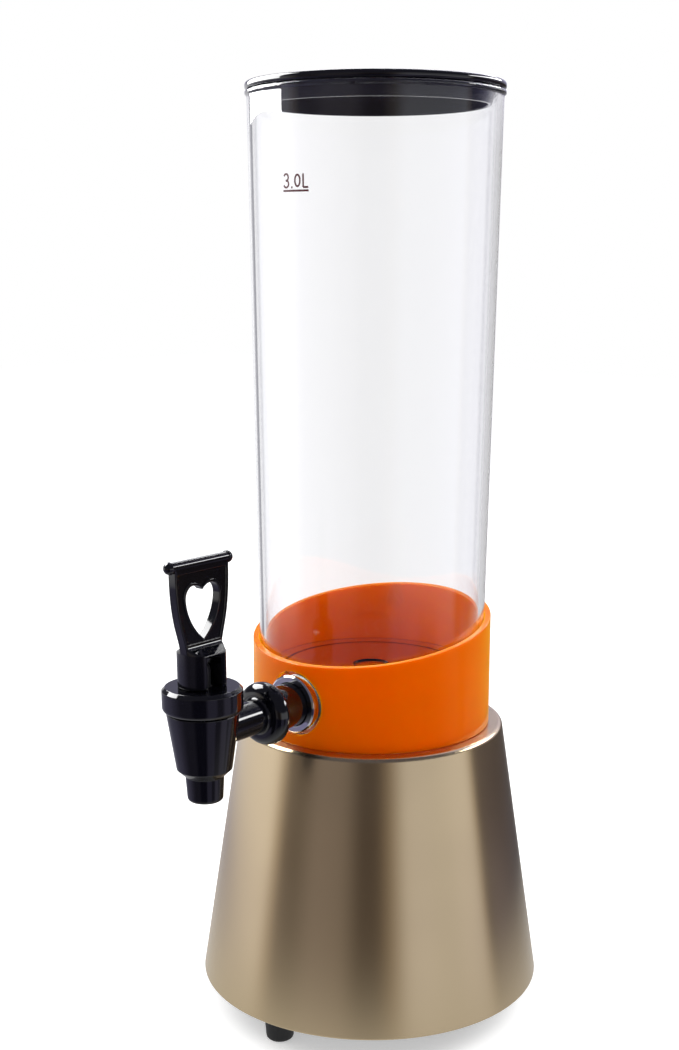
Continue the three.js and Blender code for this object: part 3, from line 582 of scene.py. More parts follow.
def moulded_abs(name, tone, spread=(0.05, 0.08), **values):
    """Injection-moulded ABS from a polished tool: glossy, with a faint orange peel."""
    return finish(name, tone, 0.001 * MM, (3 * MM, 0.0), spread, (14 * MM,), IOR=1.53, **values)


def clear_styrene(vessel):
    """Clear moulded styrene copolymer: water-clear, with the slow waves of a moulded wall."""
    return finish(
        "clear_styrene", vessel.clear, 0.003 * MM, (40 * MM, 0.0, (1, 1, 0.15)), IOR=1.57,
        Roughness=0.0, Transmission_Weight=1.0,
    )


def polished_steel(tap):
    """Turned and polished stainless steel: a clean mirror with faint lathe lines."""
    # Real lathe lines are near 0.1 mm apart; these are coarser, so that they show
    return finish(
        "polished_stainless_steel", tap.steel, 0.0005 * MM, (0.5 * MM, 1.0, (0.1, 1, 0.1)),
        (0.06, 0.12), Metallic=1.0,
    )


def black_rubber():
    """Moulded rubber with a fine spark-eroded grain: dull, with a soft sheen at its edges."""
    tone = linear("#121214")
    return finish(
        "black_rubber", tone, 0.02 * MM, (0.4 * MM,), (0.6, 0.8), IOR=1.52, Sheen_Weight=0.05
    )


def matt_polypropylene():
    """Moulded black polypropylene of the parts inside: matt, with the tool's even grain."""
    tone = linear("#17161A")
    return finish("matt_polypropylene", tone, 0.015 * MM, (0.5 * MM,), (0.45, 0.6), IOR=1.49)


def white_silicone():
    """Translucent white silicone of the valve's cup: soft, milky and a little waxy."""
    return finish(
        "white_silicone", linear("#D9D9D2"), 0.01 * MM, (0.6 * MM,), (0.35, 0.5), IOR=1.41,
        Subsurface_Weight=0.5, Subsurface_Scale=3 * MM,
    )


def pad_print_ink(vessel):
    """Maroon pad-printed ink: thin and satin, a little thinner here and there."""
    return finish(
        "maroon_print_ink", vessel.ink, 0.01 * MM, (0.8 * MM,), (0.35, 0.5), IOR=1.5
    )


# Pieces


class MakeStand(bpy.types.Operator):
    """Spun stand: a hollow tapered shell with a flat top and three screw posts inside"""

    bl_idname = "dispenser.make_stand"
    bl_label = "Stand"

    def execute(self, context):
        stand = context.scene.dispenser_stand
        slope = (stand.foot_radius - stand.top_radius) / (STAND_TOP - STAND_FOOT)
        ceiling = STAND_TOP - stand.top_thick
        hole = context.scene.dispenser_vessel.spigot_radius + PLAY
        inside = stand.foot_radius - stand.wall
        made = raw("stand", lathe([
            (inside, STAND_FOOT),
            (stand.foot_radius, STAND_FOOT, stand.rim_round),
            (stand.top_radius, STAND_TOP, stand.edge_round),
            (hole, STAND_TOP, 0.3 * MM),
            (hole, ceiling),
            (inside - slope * (ceiling - STAND_FOOT), ceiling, 2 * MM),
        ], TOWER, TOWER_FACETS))
        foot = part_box("bottom_plate")[0].z + POST_FOOT
        top = foot + stand.boss_height
        wall = inside - slope * (top - STAND_FOOT) + stand.wall / 2
        for turn in (1 / 6, 3 / 6, 5 / 6):
            angle = 2 * math.pi * turn - QUARTER
            out = Vector((math.cos(angle), math.sin(angle), 0))
            across = Vector((-out.y, out.x, 0)) * stand.web / 2
            near, far = out * stand.boss_circle, out * wall
            flat = near - across, far - across, far + across, near + across
            web = [[p + Vector((0, TOWER_Y, z)) for p in flat] for z in (foot, top)]
            place = near + Vector(TOWER)
            post = raw("post", rod(stand.boss_radius, foot, top, place, POST_FACETS))
            combine(post, lofted(web), "UNION")
            combine(post, rod(PILOT_HOLE, foot - OVERRUN, top - PILOT_ROOF, place, PILOT_FACETS))
            joined = bmesh.new()
            joined.from_mesh(post.data)
            combine(made, joined, "UNION")
            bpy.data.objects.remove(post)
        finished(made, "base", champagne_aluminium(stand), "stand_metal", "base_shell")
        return {"FINISHED"}


class MakeFeet(bpy.types.Operator):
    """Three tapered rubber feet with a deep recess for their screws"""

    bl_idname = "dispenser.make_feet"
    bl_label = "Feet"

    def execute(self, context):
        stand = context.scene.dispenser_stand
        for number in (1, 2, 3):
            name = f"foot_{number}"
            low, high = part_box(name)
            centre = (low.x + high.x) / 2, (low.y + high.y) / 2, 0
            made = raw(f"rubber_foot_{number}", lathe([
                (stand.foot_bore, 0, 0.3 * MM),
                (stand.foot_tip, 0, stand.foot_round),
                (stand.foot_top, high.z, 0.4 * MM),
                (stand.foot_hole, high.z),
                (stand.foot_hole, stand.foot_bore_depth),
                (stand.foot_bore, stand.foot_bore_depth),
            ], centre, FOOT_FACETS))
            finished(made, "base", black_rubber(), "rubber", name)
        return {"FINISHED"}


class FinishUnderside(bpy.types.Operator):
    """Finishes of the bottom plate, the screws, and the nut and washer under the stand's top"""

    bl_idname = "dispenser.finish_underside"
    bl_label = "Underside"

    def execute(self, context):
        screws = [f"{kind}_screw_{number}" for kind in ("foot", "plate") for number in (1, 2, 3)]
        refinish(polished_steel(context.scene.dispenser_tap), *screws)
        refinish(matt_polypropylene(), "bottom_plate", "tube_nut")
        refinish(black_rubber(), "tube_washer")
        return {"FINISHED"}


def tube_radius(vessel, height):
    """Outside radius of the drafted tube at a height."""
    return vessel.foot_radius + vessel.draft * (height - TUBE_FOOT) / (TUBE_TOP - TUBE_FOOT)


class MakeTube(bpy.types.Operator):
    """Clear drafted tube with its floor, spigot, lip and the hole for the tap's shank"""

    bl_idname = "dispenser.make_tube"
    bl_label = "Tube"

    def execute(self, context):
        vessel = context.scene.dispenser_vessel
        floor = TUBE_FOOT + vessel.wall
        lip_foot = TUBE_TOP - vessel.lip_height
        lip = tube_radius(vessel, TUBE_TOP) + vessel.lip
        mouth = tube_radius(vessel, TUBE_TOP) - vessel.wall
        inner = vessel.spigot_radius - vessel.spigot_wall
        end = TUBE_FOOT - vessel.spigot_length
        guide = ARM_Z + 24 * MM  # row above the shank's hole, hidden by the collar
        made = raw("clear_tube", lathe([
            (0, TUBE_FOOT),
            (inner, TUBE_FOOT),
            (inner, end),
            (vessel.spigot_radius, end, 0.6 * MM),
            (vessel.spigot_radius, TUBE_FOOT),
            (tube_radius(vessel, TUBE_FOOT), TUBE_FOOT, vessel.foot_round),
            (tube_radius(vessel, guide), guide),
            (tube_radius(vessel, lip_foot), lip_foot, 0.3 * MM),
            (lip, lip_foot + vessel.lip_round, 0.4 * MM),
            (lip, TUBE_TOP, vessel.lip_round),
            (mouth, TUBE_TOP, 0.4 * MM),
            (tube_radius(vessel, guide) - vessel.wall, guide),
            (tube_radius(vessel, floor) - vessel.wall, floor, vessel.inner_round),
            (0, floor),
        ], TOWER, TOWER_FACETS))
        start = TOWER_Y - tube_radius(vessel, ARM_Z) - OVERRUN
        end = start + vessel.wall + 2 * OVERRUN
        combine(made, rod(vessel.shank_hole, start, end, (0, 0, ARM_Z), BORE_FACETS, True))
        finished(made, "base", clear_styrene(vessel), "clear_plastic", "tube")
        made.visible_shadow = False  # light passes a clear wall
        return {"FINISHED"}


def ribbon(line, width):
    """Left and right edges of a flat stroke along a line of (across, up) points."""
    edges = []
    for i, point in enumerate(line):
        here = Vector(point)
        before, after = Vector(line[max(i - 1, 0)]), Vector(line[min(i + 1, len(line) - 1)])
        along = (after - before).normalized()
        side = Vector((-along.y, along.x)) * width / 2
        edges.append((here - side, here + side))
    return edges


def bow(centre, radius_x, radius_y, start, end, steps=20):
    """Points of an elliptic arc between two angles in degrees."""
    angles = [math.radians(start + (end - start) * i / steps) for i in range(steps + 1)]
    x, y = centre
    return [(x + radius_x * math.cos(a), y + radius_y * math.sin(a)) for a in angles]


class MakeMark(bpy.types.Operator):
    """Printed capacity mark on the tube: a plain fill line with its measure in litres"""

    bl_idname = "dispenser.make_mark"
    bl_label = "Capacity mark"

    def execute(self, context):
        vessel = context.scene.dispenser_vessel
        tall = vessel.mark_height
        half = vessel.mark_stroke / 2
        base = vessel.mark_line + 1.5 * MM  # foot of the figures
        left = vessel.mark_left
        wide = 3.3 * MM  # of a figure
        # Places and sizes inside a figure are shares of its width and height
        three = bow((left + wide * 0.45, base + tall * 0.74), wide * 0.42, tall * 0.26, 160, -90)
        three += bow((left + wide * 0.45, base + tall * 0.26), wide * 0.48, tall * 0.26, 90, -160)
        zero = left + wide * 2.58
        ell = left + wide * 3.6
        dot = left + wide * 1.55
        long = 15.3 * MM
        strokes = (
            three,
            [(dot, base - half), (dot, base + half)],
            bow((zero, base + tall / 2), wide * 0.45, tall / 2 - half, 0, 360, 36),
            [(ell, base + tall), (ell, base + tall / 2), (ell, base)],
            [(ell, base), (ell + wide * 0.5, base), (left + long - 0.6 * MM, base)],
            [(left - 0.4 * MM + long * i / 12, vessel.mark_line) for i in range(13)],
        )
        mesh = bmesh.new()
        for line in strokes:
            rings = []
            for start, end in ribbon(line, vessel.mark_stroke):
                corners = (start, INK[0]), (end, INK[0]), (end, INK[1]), (start, INK[1])
                rings.append([self.on_tube(vessel, *place, lift) for place, lift in corners])
            lofted(rings, mesh)
        finished(raw("capacity_mark", mesh), "base", pad_print_ink(vessel), "clear_plastic")
        return {"FINISHED"}

    def on_tube(self, vessel, across, up, lift):
        """A place on or above the tube's wall, measured along the wall from the tap's side."""
        radius = tube_radius(vessel, up) + lift
        angle = across / radius
        return radius * math.sin(angle), TOWER_Y - radius * math.cos(angle), up


class MakeCollar(bpy.types.Operator):
    """Orange sleeve round the tube's foot, cut off on a slant, with a hole for the ring"""

    bl_idname = "dispenser.make_collar"
    bl_label = "Collar"

    def execute(self, context):
        vessel = context.scene.dispenser_vessel
        tall = vessel.collar_height
        foot = vessel.foot_radius + vessel.collar_room
        outside = foot + vessel.collar_wall
        edge = vessel.collar_edge
        mesh = lathe([
            (foot, TUBE_FOOT, edge),
            (outside, TUBE_FOOT, edge),
            (outside - vessel.collar_draft, TUBE_FOOT + tall, edge),
            (foot - vessel.collar_draft, TUBE_FOOT + tall, edge),
        ], TOWER, TOWER_FACETS, longest=ROW)
        for vertex in mesh.verts:
            rise = (vertex.co.y - TOWER_Y) * math.tan(vessel.collar_slant)
            vertex.co.z += (vertex.co.z - TUBE_FOOT) * rise / tall
        made = raw("orange_collar", mesh)
        start = TOWER_Y - CUT_START
        combine(made, rod(vessel.collar_hole, start, TOWER_Y, (0, 0, ARM_Z), TAP_FACETS, True))
        # The pigment right under the gloss warms what the collar mirrors, and a little light passes
        # through the thin wall, red the furthest. The emission is painted glow: the collar gives
        # off a faint orange light of its own, though it is no lamp, which brightens its shaded
        # inside.
        warm, glow = (*linear("#FFEE00"), 1), (*linear("#FFBE00"), 1)
        orange = moulded_abs(
            "orange_abs", vessel.orange, (0.1, 0.15), Specular_Tint=warm, Specular_IOR_Level=0.2,
            Sheen_Weight=0.8, Sheen_Roughness=0.45, Sheen_Tint=glow, Subsurface_Weight=1.0,
            Subsurface_Scale=14 * MM, Subsurface_Radius=(1.0, 0.5, 0.02),
            # Painted glow: a faint orange light of the collar's own, which brightens its shaded
            # inside
            Emission_Color=(1.0, 0.13, 0.0, 1), Emission_Strength=0.18,
        )
        finished(made, "base", orange, "collar_plastic", "collar")
        return {"FINISHED"}


class MakeFalseFloor(bpy.types.Operator):
    """Clear false floor on a skirt, with a drain hole and a notch for the tap's nut"""

    bl_idname = "dispenser.make_false_floor"
    bl_label = "False floor"

    def execute(self, context):
        vessel = context.scene.dispenser_vessel
        low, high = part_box("floor_insert")
        under = high.z - vessel.insert_thick
        radius = tube_radius(vessel, under) - vessel.wall - vessel.insert_gap
        skirt = radius - vessel.insert_ledge
        inside = skirt - vessel.insert_skirt
        drain, lip = vessel.insert_drain, vessel.insert_drain_lip
        made = raw("clear_false_floor", lathe([
            (drain, under, 0.2 * MM),
            (inside, under),
            (inside, low.z, 0.4 * MM),
            (skirt, low.z, 0.4 * MM),
            (skirt, under),
            (radius, under, 0.3 * MM),
            (radius, high.z, 0.6 * MM),
            (drain + lip, high.z),
            (drain, high.z - lip),
        ], TOWER, TOWER_FACETS))
        half = vessel.insert_notch
        front = TOWER_Y - radius - OVERRUN
        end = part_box("tap_body")[1].y + vessel.insert_notch_past
        plan = (-half, front), (half, front), (half, end), (-half, end)
        levels = low.z - OVERRUN, high.z + OVERRUN
        combine(made, lofted([[(x, y, z) for x, y in plan] for z in levels]))
        finished(made, "base", clear_styrene(vessel), "clear_plastic", "floor_insert")
        made.visible_shadow = False
        return {"FINISHED"}


class MakeLid(bpy.types.Operator):
    """Push-in lid: a rim on the tube's lip, a shallow dished top and a hollow tapered plug"""

    bl_idname = "dispenser.make_lid"
    bl_label = "Lid"

    def execute(self, context):
        vessel = context.scene.dispenser_vessel
        edge = tube_radius(vessel, TUBE_TOP) + vessel.lip
        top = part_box("lid")[1].z
        foot = top - vessel.lid_rim
        ceiling = top - vessel.lid_top_thick
        plug = tube_radius(vessel, TUBE_TOP) - vessel.wall - vessel.lid_plug_gap
        plug_foot = plug - vessel.lid_plug_taper
        panel = edge - vessel.lid_band
        dish = top - vessel.lid_panel_drop
        made = raw("black_lid", lathe([
            (0, dish),
            (panel, dish, 0.6 * MM),
            (panel + vessel.lid_panel_slope, top, 0.5 * MM),
            (edge, top, vessel.lid_round),
            (edge, foot, vessel.lid_under_round),
            (plug, foot),
            (plug_foot, foot - vessel.lid_plug_depth, 0.7 * MM),
            (plug_foot - vessel.lid_plug_wall, foot - vessel.lid_plug_depth, 0.7 * MM),
            (plug - vessel.lid_plug_wall, ceiling, 0.8 * MM),
            (0, ceiling),
        ], TOWER, TOWER_FACETS))
        black = moulded_abs("black_abs_lid", vessel.black)
        finished(made, "lid", black, "lid_plastic", "lid")
        return {"FINISHED"}


class MakeTapBody(bpy.types.Operator):
    """Tap body in one moulding: cone, spout, arm, fat flange, neck and shank, cored out"""

    bl_idname = "dispenser.make_tap_body"
    bl_label = "Tap body"

    def execute(self, context):
        tap = context.scene.dispenser_tap
        spout_top = CONE_FOOT_Z - tap.shoulder
        tip = spout_top - tap.spout_length
        neck_top = ARM_Z + tap.neck_top
        neck = tap.cone_top - tap.cone_ledge
        axis = (0, TAP_Y, ARM_Z)  # of the arm
        made = raw("tap_moulding", lathe([
            (0, tip),
            (tap.spout_tip, tip, tap.spout_round),
            (tap.spout_top, spout_top, 0.5 * MM),
            (tap.cone_foot, CONE_FOOT_Z, 0.7 * MM),
            (tap.cone_top, CONE_TOP_Z, 0.5 * MM),
            (neck, CONE_TOP_Z),
            (neck, neck_top, 0.4 * MM),
            (0, neck_top),
        ], TAP, TAP_FACETS, longest=ROW))
        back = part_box("tap_body")[1].y - TAP_Y - tap.shank_length - tap.neck_length
        front = back - tap.flange_thick
        neck_end = back + tap.neck_length
        end = neck_end + tap.shank_length
        arm = lathe([
            (0, tap.arm_start),
            (tap.arm_radius, tap.arm_start),
            (tap.arm_radius, front, tap.flange_fillet),
            (tap.flange_radius, front, tap.flange_front),
            (tap.flange_radius, back, tap.flange_back),
            (tap.neck_radius, back, 0.4 * MM),
            (tap.neck_radius, neck_end, 0.3 * MM),
            (tap.shank_radius, neck_end),
            (tap.shank_radius, end, 0.8 * MM),
            (0, end),
        ], axis, TAP_FACETS, True)
        combine(made, arm, "UNION")
        seat = CONE_FOOT_Z + tap.seat_rise
        combine(made, lathe([
            (0, tip - OVERRUN),
            (tap.spout_bore, tip - OVERRUN),
            (tap.spout_bore, seat),
            (tap.chamber_foot, seat + tap.seat_height),
            (tap.chamber_top, CONE_TOP_Z),
            (tap.chamber_top, neck_top + OVERRUN),
            (0, neck_top + OVERRUN),
        ], TAP, TAP_FACETS))
        combine(made, rod(tap.arm_bore, 0, end + OVERRUN, axis, BORE_FACETS, True))
        black = moulded_abs("black_abs_tap", tap.black)
        finished(made, "base", black, "tap_plastic", "tap_body")
        return {"FINISHED"}


class MakeBonnet(bpy.types.Operator):
    """Screw cap on the tap body, with a hole for the stem"""

    bl_idname = "dispenser.make_bonnet"
    bl_label = "Screw cap"

    def execute(self, context):
        tap = context.scene.dispenser_tap
        inside = tap.bonnet_radius - tap.bonnet_wall
        ceiling = BONNET_TOP - tap.bonnet_top
        chamfer = tap.bonnet_chamfer
        made = raw("screw_cap", lathe([
            (inside, BONNET_FOOT),
            (tap.bonnet_radius, BONNET_FOOT, tap.bonnet_round),
            (tap.bonnet_radius, BONNET_TOP - chamfer, 0.35 * MM),
            (tap.bonnet_radius - chamfer, BONNET_TOP, 0.35 * MM),
            (tap.stem_hole, BONNET_TOP, 0.3 * MM),
            (tap.stem_hole, ceiling),
            (inside, ceiling),
        ], TAP, TAP_FACETS))
        black = moulded_abs("black_abs_tap", tap.black)
        finished(made, "base", black, "tap_plastic", "bonnet")
        return {"FINISHED"}


class MakeTrimRing(bpy.types.Operator):
    """Polished steel ring round the tap's neck, inside the collar's hole"""

    bl_idname = "dispenser.make_trim_ring"
    bl_label = "Steel ring"

    def execute(self, context):
        tap = context.scene.dispenser_tap
        low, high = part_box("trim_ring")
        chamfer = tap.trim_chamfer
        bore = tap.neck_radius + PLAY
        made = raw("steel_ring", lathe([
            (bore, low.y, 0.3 * MM),
            (tap.trim_radius - chamfer, low.y, 0.25 * MM),
            (tap.trim_radius, low.y + chamfer, 0.25 * MM),
            (tap.trim_radius, high.y),
            (bore, high.y),
        ], (0, 0, ARM_Z), TAP_FACETS, True))
        finished(made, "base", polished_steel(tap), "steel", "trim_ring")
        return {"FINISHED"}


FLAT_STEPS, CORNER_STEPS, ROUND_STEPS = 6, 4, 24  # places on a quarter of the block's plan
PANEL_STEPS = 40  # rows up the side of the plate's sunk panel
KNOB_ROUND = 0.96  # of the knob's radius, so that its end stays a closed disc
FILLET_TOP = 1.8 * MM  # how far the block's body runs up inside the plate

# Side of the handle's plate and of the heart, as (share of half width, share of height) for the
# start, then two handles and an end for each curve.
PLATE_SIDE = [(0.65, 0), (0.65, 0.28), (0.96, 0.32), (1, 0.83)]
HEART_SIDE = [
    (0, 0), (0.45, 0.15), (0.95, 0.42), (1, 0.76), (1, 0.9), (0.8, 1), (0.53, 1),
    (0.28, 1), (0.1, 0.95), (0, 0.9),
]


def curve_points(shares, wide, tall, foot, steps=14):
    """Points along joined cubic curves given as shares, from the foot up."""
    places = [Vector((wide * across, foot + tall * up)) for across, up in shares]
    line = [places[0]]
    for i in range(0, len(places) - 1, 3):
        a, b, c, d = places[i : i + 4]
        for step in range(1, steps + 1):
            t = step / steps
            s = 1 - t
            line.append(a * s**3 + b * 3 * s * s * t + c * 3 * s * t * t + d * t**3)
    return line


def mirrored(line):
    """A closed outline from one side of it, from the foot up."""
    back = [Vector((-p.x, p.y)) for p in reversed(line)]
    return line + [p for p in back if abs(p.x) > ON_AXIS]


def width_at(line, height):
    """Where a side that goes up crosses a height."""
    for a, b in zip(line, line[1:]):
        if a.y <= height <= b.y and b.y > a.y:
            return a.x + (b.x - a.x) * (height - a.y) / (b.y - a.y)
    return line[-1].x


def plate_mesh(outlines, half_thick, edge):
    """Closed plate in Y and Z with holes, its edges rounded all round."""
    curve = bpy.data.curves.new("plate", "CURVE")
    curve.dimensions = "2D"
    curve.fill_mode = "BOTH"
    curve.extrude = half_thick - edge
    curve.bevel_depth = edge
    curve.bevel_resolution = 2
    curve.offset = -edge
    for outline in outlines:
        spline = curve.splines.new("POLY")
        spline.points.add(len(outline) - 1)
        for point, place in zip(spline.points, outline):
            point.co = (place[0], place[1], 0, 1)
        spline.use_cyclic_u = True
    holder = linked("plate", curve)
    data = final_mesh(holder)
    mesh = bmesh.new()
    mesh.from_mesh(data)
    for vertex in mesh.verts:
        across, up, out = vertex.co
        vertex.co = (out, TAP_Y + across, up)
    bmesh.ops.remove_doubles(mesh, verts=mesh.verts, dist=0.002 * MM)
    bmesh.ops.recalc_face_normals(mesh, faces=mesh.faces)
    bpy.data.objects.remove(holder)
    bpy.data.curves.remove(curve)
    bpy.data.meshes.remove(data)
    return mesh


def block_plan(radius, flat, corner):
    """Plan of the handle's block: a circle with two flats whose edges are round."""
    across = flat - corner
    along = math.sqrt((radius - corner) ** 2 - across**2)
    lean = math.atan2(along, across)
    quarter = [(flat, along * i / FLAT_STEPS) for i in range(FLAT_STEPS)]
    turns = [lean * i / CORNER_STEPS for i in range(CORNER_STEPS)]
    quarter += [(across + corner * math.cos(a), along + corner * math.sin(a)) for a in turns]
    turns = [lean + (QUARTER - lean) * i / ROUND_STEPS for i in range(ROUND_STEPS + 1)]
    quarter += [(radius * math.cos(a), radius * math.sin(a)) for a in turns]
    half = quarter + [(-x, y) for x, y in reversed(quarter[:-1])]
    return half + [(x, -y) for x, y in reversed(half[1:-1])]


class MakeHandle(bpy.types.Operator):
    """Lever: a fork block, a rimmed plate with a heart-shaped hole and a knobbed cross bar"""

    bl_idname = "dispenser.make_handle"
    bl_label = "Handle"

    def execute(self, context):
        tap = context.scene.dispenser_tap
        shoulder = BLOCK_FOOT + tap.block_height
        heart_foot = shoulder + tap.block_bevel + tap.heart_rise
        bar_level = heart_foot + tap.heart_height + tap.heart_head
        made = self.block(tap, shoulder)
        root = shoulder - tap.plate_root
        tall = bar_level - root
        side = curve_points(PLATE_SIDE, tap.plate_half_width, tall, root)
        side.append(Vector((tap.plate_half_width, bar_level)))
        wide, tall = tap.heart_half_width, tap.heart_height
        heart, wide_heart = (
            mirrored(curve_points(HEART_SIDE, wide + rim, tall + 2 * rim, heart_foot - rim))
            for rim in (0, tap.heart_rim)
        )
        low = shoulder + tap.block_bevel + tap.panel_rim
        high = bar_level - tap.bar_radius - tap.panel_rim / 2
        levels = [low + (high - low) * i / PANEL_STEPS for i in range(PANEL_STEPS + 1)]
        window = [Vector((width_at(side, z) - tap.panel_rim, z)) for z in levels]
        window += [Vector((-p.x, p.y)) for p in reversed(window)]
        thick = tap.plate_half_thick
        for outlines, half, edge in (
            ((mirrored(side), heart), thick - tap.panel_depth, 0.1 * MM),
            ((mirrored(side), window), thick, 0.35 * MM),
            ((wide_heart, heart), thick, 0.35 * MM),
        ):
            combine(made, plate_mesh(outlines, half, edge), "UNION")
        half = tap.plate_half_width + tap.bar_overhang
        knob = half - tap.bar_end_length
        bar = lathe([
            (0, -half),
            (tap.bar_end, -half, tap.bar_end * KNOB_ROUND),
            (tap.bar_end, -knob, 0.25 * MM),
            (tap.bar_radius, -knob, 0.2 * MM),
            (tap.bar_radius, knob, 0.2 * MM),
            (tap.bar_end, knob, 0.25 * MM),
            (tap.bar_end, half, tap.bar_end * KNOB_ROUND),
            (0, half),
        ], (0, TAP_Y, bar_level), BAR_FACETS, True)
        combine(made, bar, "UNION")
        self.cut_slot(tap, made, shoulder)
        pin = tap.block_radius - 0.4 * MM
        centre = (0, TAP_Y, BLOCK_FOOT + tap.pin_height)
        combine(made, rod(tap.pin_hole, -pin, pin, centre, POST_FACETS, True))
        black = moulded_abs("black_abs_tap", tap.black)
        finished(made, "handle", black, "tap_plastic", "handle")
        even = made.modifiers.new("Even shading", "WEIGHTED_NORMAL")
        even.keep_sharp = True
        return {"FINISHED"}

    def block(self, tap, shoulder):
        """Fork block: round, with two flats, a round foot and slopes up to the plate."""
        top = shoulder + tap.block_bevel
        flats = rounded([
            (tap.block_flat - 2 * tap.block_foot, BLOCK_FOOT),
            (tap.block_flat, BLOCK_FOOT, tap.block_foot),
            (tap.block_flat, shoulder, 0.5 * MM),
            (tap.plate_half_thick, top, tap.block_fillet),
            (tap.plate_half_thick, top + FILLET_TOP),
        ], closed=False, steps=5)
        rings = []
        for flat, z in flats[1:]:
            rise = min(z - BLOCK_FOOT, tap.block_corner)
            radius = tap.block_radius - tap.block_corner + math.sqrt(
                rise * (2 * tap.block_corner - rise)
            )
            plan = block_plan(radius, flat, tap.block_corner)
            rings.append([(x, TAP_Y + y, z) for x, y in plan])
        return raw("lever_handle", lofted(rings))

    def cut_slot(self, tap, made, shoulder):
        """Slot through the fork, with its edges broken where it meets the block's sides."""
        foot = BLOCK_FOOT - OVERRUN
        rings = []
        for side, flare in ((-1, SLOT_FLARE), (-1, 0), (1, 0), (1, SLOT_FLARE)):
            x = side * (SLOT_STRAIGHT + flare)
            half, top = tap.slot_half + flare, shoulder - tap.slot_roof + flare
            corners = (-half, foot), (half, foot), (half, top), (-half, top)
            rings.append([(x, TAP_Y + across, z) for across, z in corners])
        combine(made, lofted(rings))


class MakeSpring(bpy.types.Operator):
    """Coil spring between the stem's flange and the cap, built at one length; the real one shortens
    as the stem rises
    """

    bl_idname = "dispenser.make_spring"
    bl_label = "Valve spring"

    def execute(self, context):
        tap = context.scene.dispenser_tap
        low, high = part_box("valve_spring")
        wire = tap.spring_wire
        radius = (high.x - low.x) / 2 - wire
        steps = round(tap.spring_turns * SPRING_STEPS)
        rings = []
        for i in range(steps + 1):
            turn = math.tau * i / SPRING_STEPS
            out = Vector((math.cos(turn), math.sin(turn), 0))
            place = Vector((0, TAP_Y, low.z + wire + (high.z - low.z - 2 * wire) * i / steps))
            rings.append([
                place + out * (radius + wire * math.cos(a)) + Vector((0, 0, wire * math.sin(a)))
                for a in (math.tau * j / WIRE_FACETS for j in range(WIRE_FACETS))
            ])
        made = raw("valve_coil", lofted(rings))
        finished(made, "spring", polished_steel(tap), "steel", "valve_spring")
        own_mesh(made)
        return {"FINISHED"}


class FinishValve(bpy.types.Operator):
    """Finishes of the valve, the pin, the gaskets and the shank's nut"""

    bl_idname = "dispenser.finish_valve"
    bl_label = "Valve"

    def execute(self, context):
        refinish(matt_polypropylene(), "valve_stem", "shank_nut")
        refinish(white_silicone(), "valve_cup")
        refinish(polished_steel(context.scene.dispenser_tap), "handle_pin")
        refinish(black_rubber(), "outer_gasket", "inner_gasket")
        return {"FINISHED"}


# Stage

CAMERA_AZIMUTH = -51.3  # degrees from +X, from the tower to the camera

# Tones by direction, as (degrees counter-clockwise from the camera, red, green, blue). Gloss
# mirrors the first three lists, in level, falling and rising rays.
LEVEL_TONES = [
    (-84, 1.3, 1.3, 1.33), (-76, 0.7, 0.62, 0.52), (-69, 0.18, 0.15, 0.125),
    (-57, 0.18, 0.155, 0.13), (-42, 0.36, 0.32, 0.32), (-20, 0.34, 0.3, 0.29),
    (-7, 0.1, 0.075, 0.055), (6, 0.1, 0.075, 0.055), (16, 0.42, 0.35, 0.27),
    (28, 1.03, 1.04, 1.08), (86, 1.03, 1.04, 1.08), (91, 0.6, 0.52, 0.42),
    (95, 0.06, 0.045, 0.04), (158, 0.07, 0.055, 0.05), (170, 0.4, 0.4, 0.45),
    (178, 0.9, 0.9, 0.95),
]
LOW_TONES = [
    (-170, 0.5, 0.5, 0.55), (-122, 0.3, 0.29, 0.42), (-94, 0.35, 0.33, 0.5),
    (-76, 0.25, 0.23, 0.35), (-58, 0.12, 0.11, 0.16), (-28, 0.12, 0.11, 0.16),
    (-18, 0.03, 0.027, 0.05), (14, 0.03, 0.027, 0.05), (23, 0.28, 0.26, 0.4),
    (44, 0.28, 0.26, 0.4), (51, 0.11, 0.1, 0.14), (64, 0.11, 0.1, 0.14), (73, 0.4, 0.37, 0.52),
    (90, 0.38, 0.35, 0.5), (94, 0.12, 0.11, 0.16), (99, 0.12, 0.11, 0.16), (103, 0.28, 0.26, 0.38),
    (128, 0.13, 0.12, 0.17), (156, 0.08, 0.08, 0.1), (176, 0.5, 0.5, 0.55),
]
HIGH_TONES = [
    (-150, 0.16, 0.16, 0.2), (100, 0.12, 0.12, 0.16), (118, 0.8, 0.78, 1.05),
    (169, 0.8, 0.78, 1.05), (179, 0.38, 0.37, 0.5), (-172, 0.36, 0.35, 0.48),
    (-164, 0.55, 0.54, 0.72),
]
LEVEL_FROM = (-0.265, -0.225)  # sines of the slope where the low tones pass into the level
HIGH_FROM = (0.05, 0.15)  # the same for the level and the high tones

# What a ray meets past the clear tube once it was mirrored in the tube's wall. A ray that went
# straight through meets the same behind the tube, and a clear room on every other side.
THROUGH_TONES = [
    (-110, 0.12, 0.12, 0.22), (-140, 0.75, 0.75, 0.8), (-147, 1.0, 1.0, 1.0),
    (-150, 0.1, 0.1, 0.13), (-158, 0.1, 0.1, 0.13), (-163, 1.2, 1.2, 1.2), (-172, 1.3, 1.3, 1.3),
    (-177, 1.12, 1.12, 1.11), (-179, 1.05, 1.05, 1.04), (177, 1.04, 1.04, 1.03),
    (174, 1.1, 1.1, 1.1), (171, 1.2, 1.2, 1.21), (166, 1.26, 1.26, 1.28), (160, 0.95, 0.95, 0.97),
    (155, 0.92, 0.92, 0.94), (149, 0.9, 0.9, 0.92), (140, 0.8, 0.8, 0.84), (118, 0.12, 0.12, 0.22),
    (60, 0.08, 0.08, 0.14), (0, 0.06, 0.06, 0.1),
]
BEHIND = 139  # from here on, in degrees from the camera, a direction is behind the tube
STRAIGHT_TONES = [tone for tone in THROUGH_TONES if abs(tone[0]) > BEHIND]
STRAIGHT_TONES += [(side, 1.4, 1.4, 1.4) for side in (-110, 0, 118)]

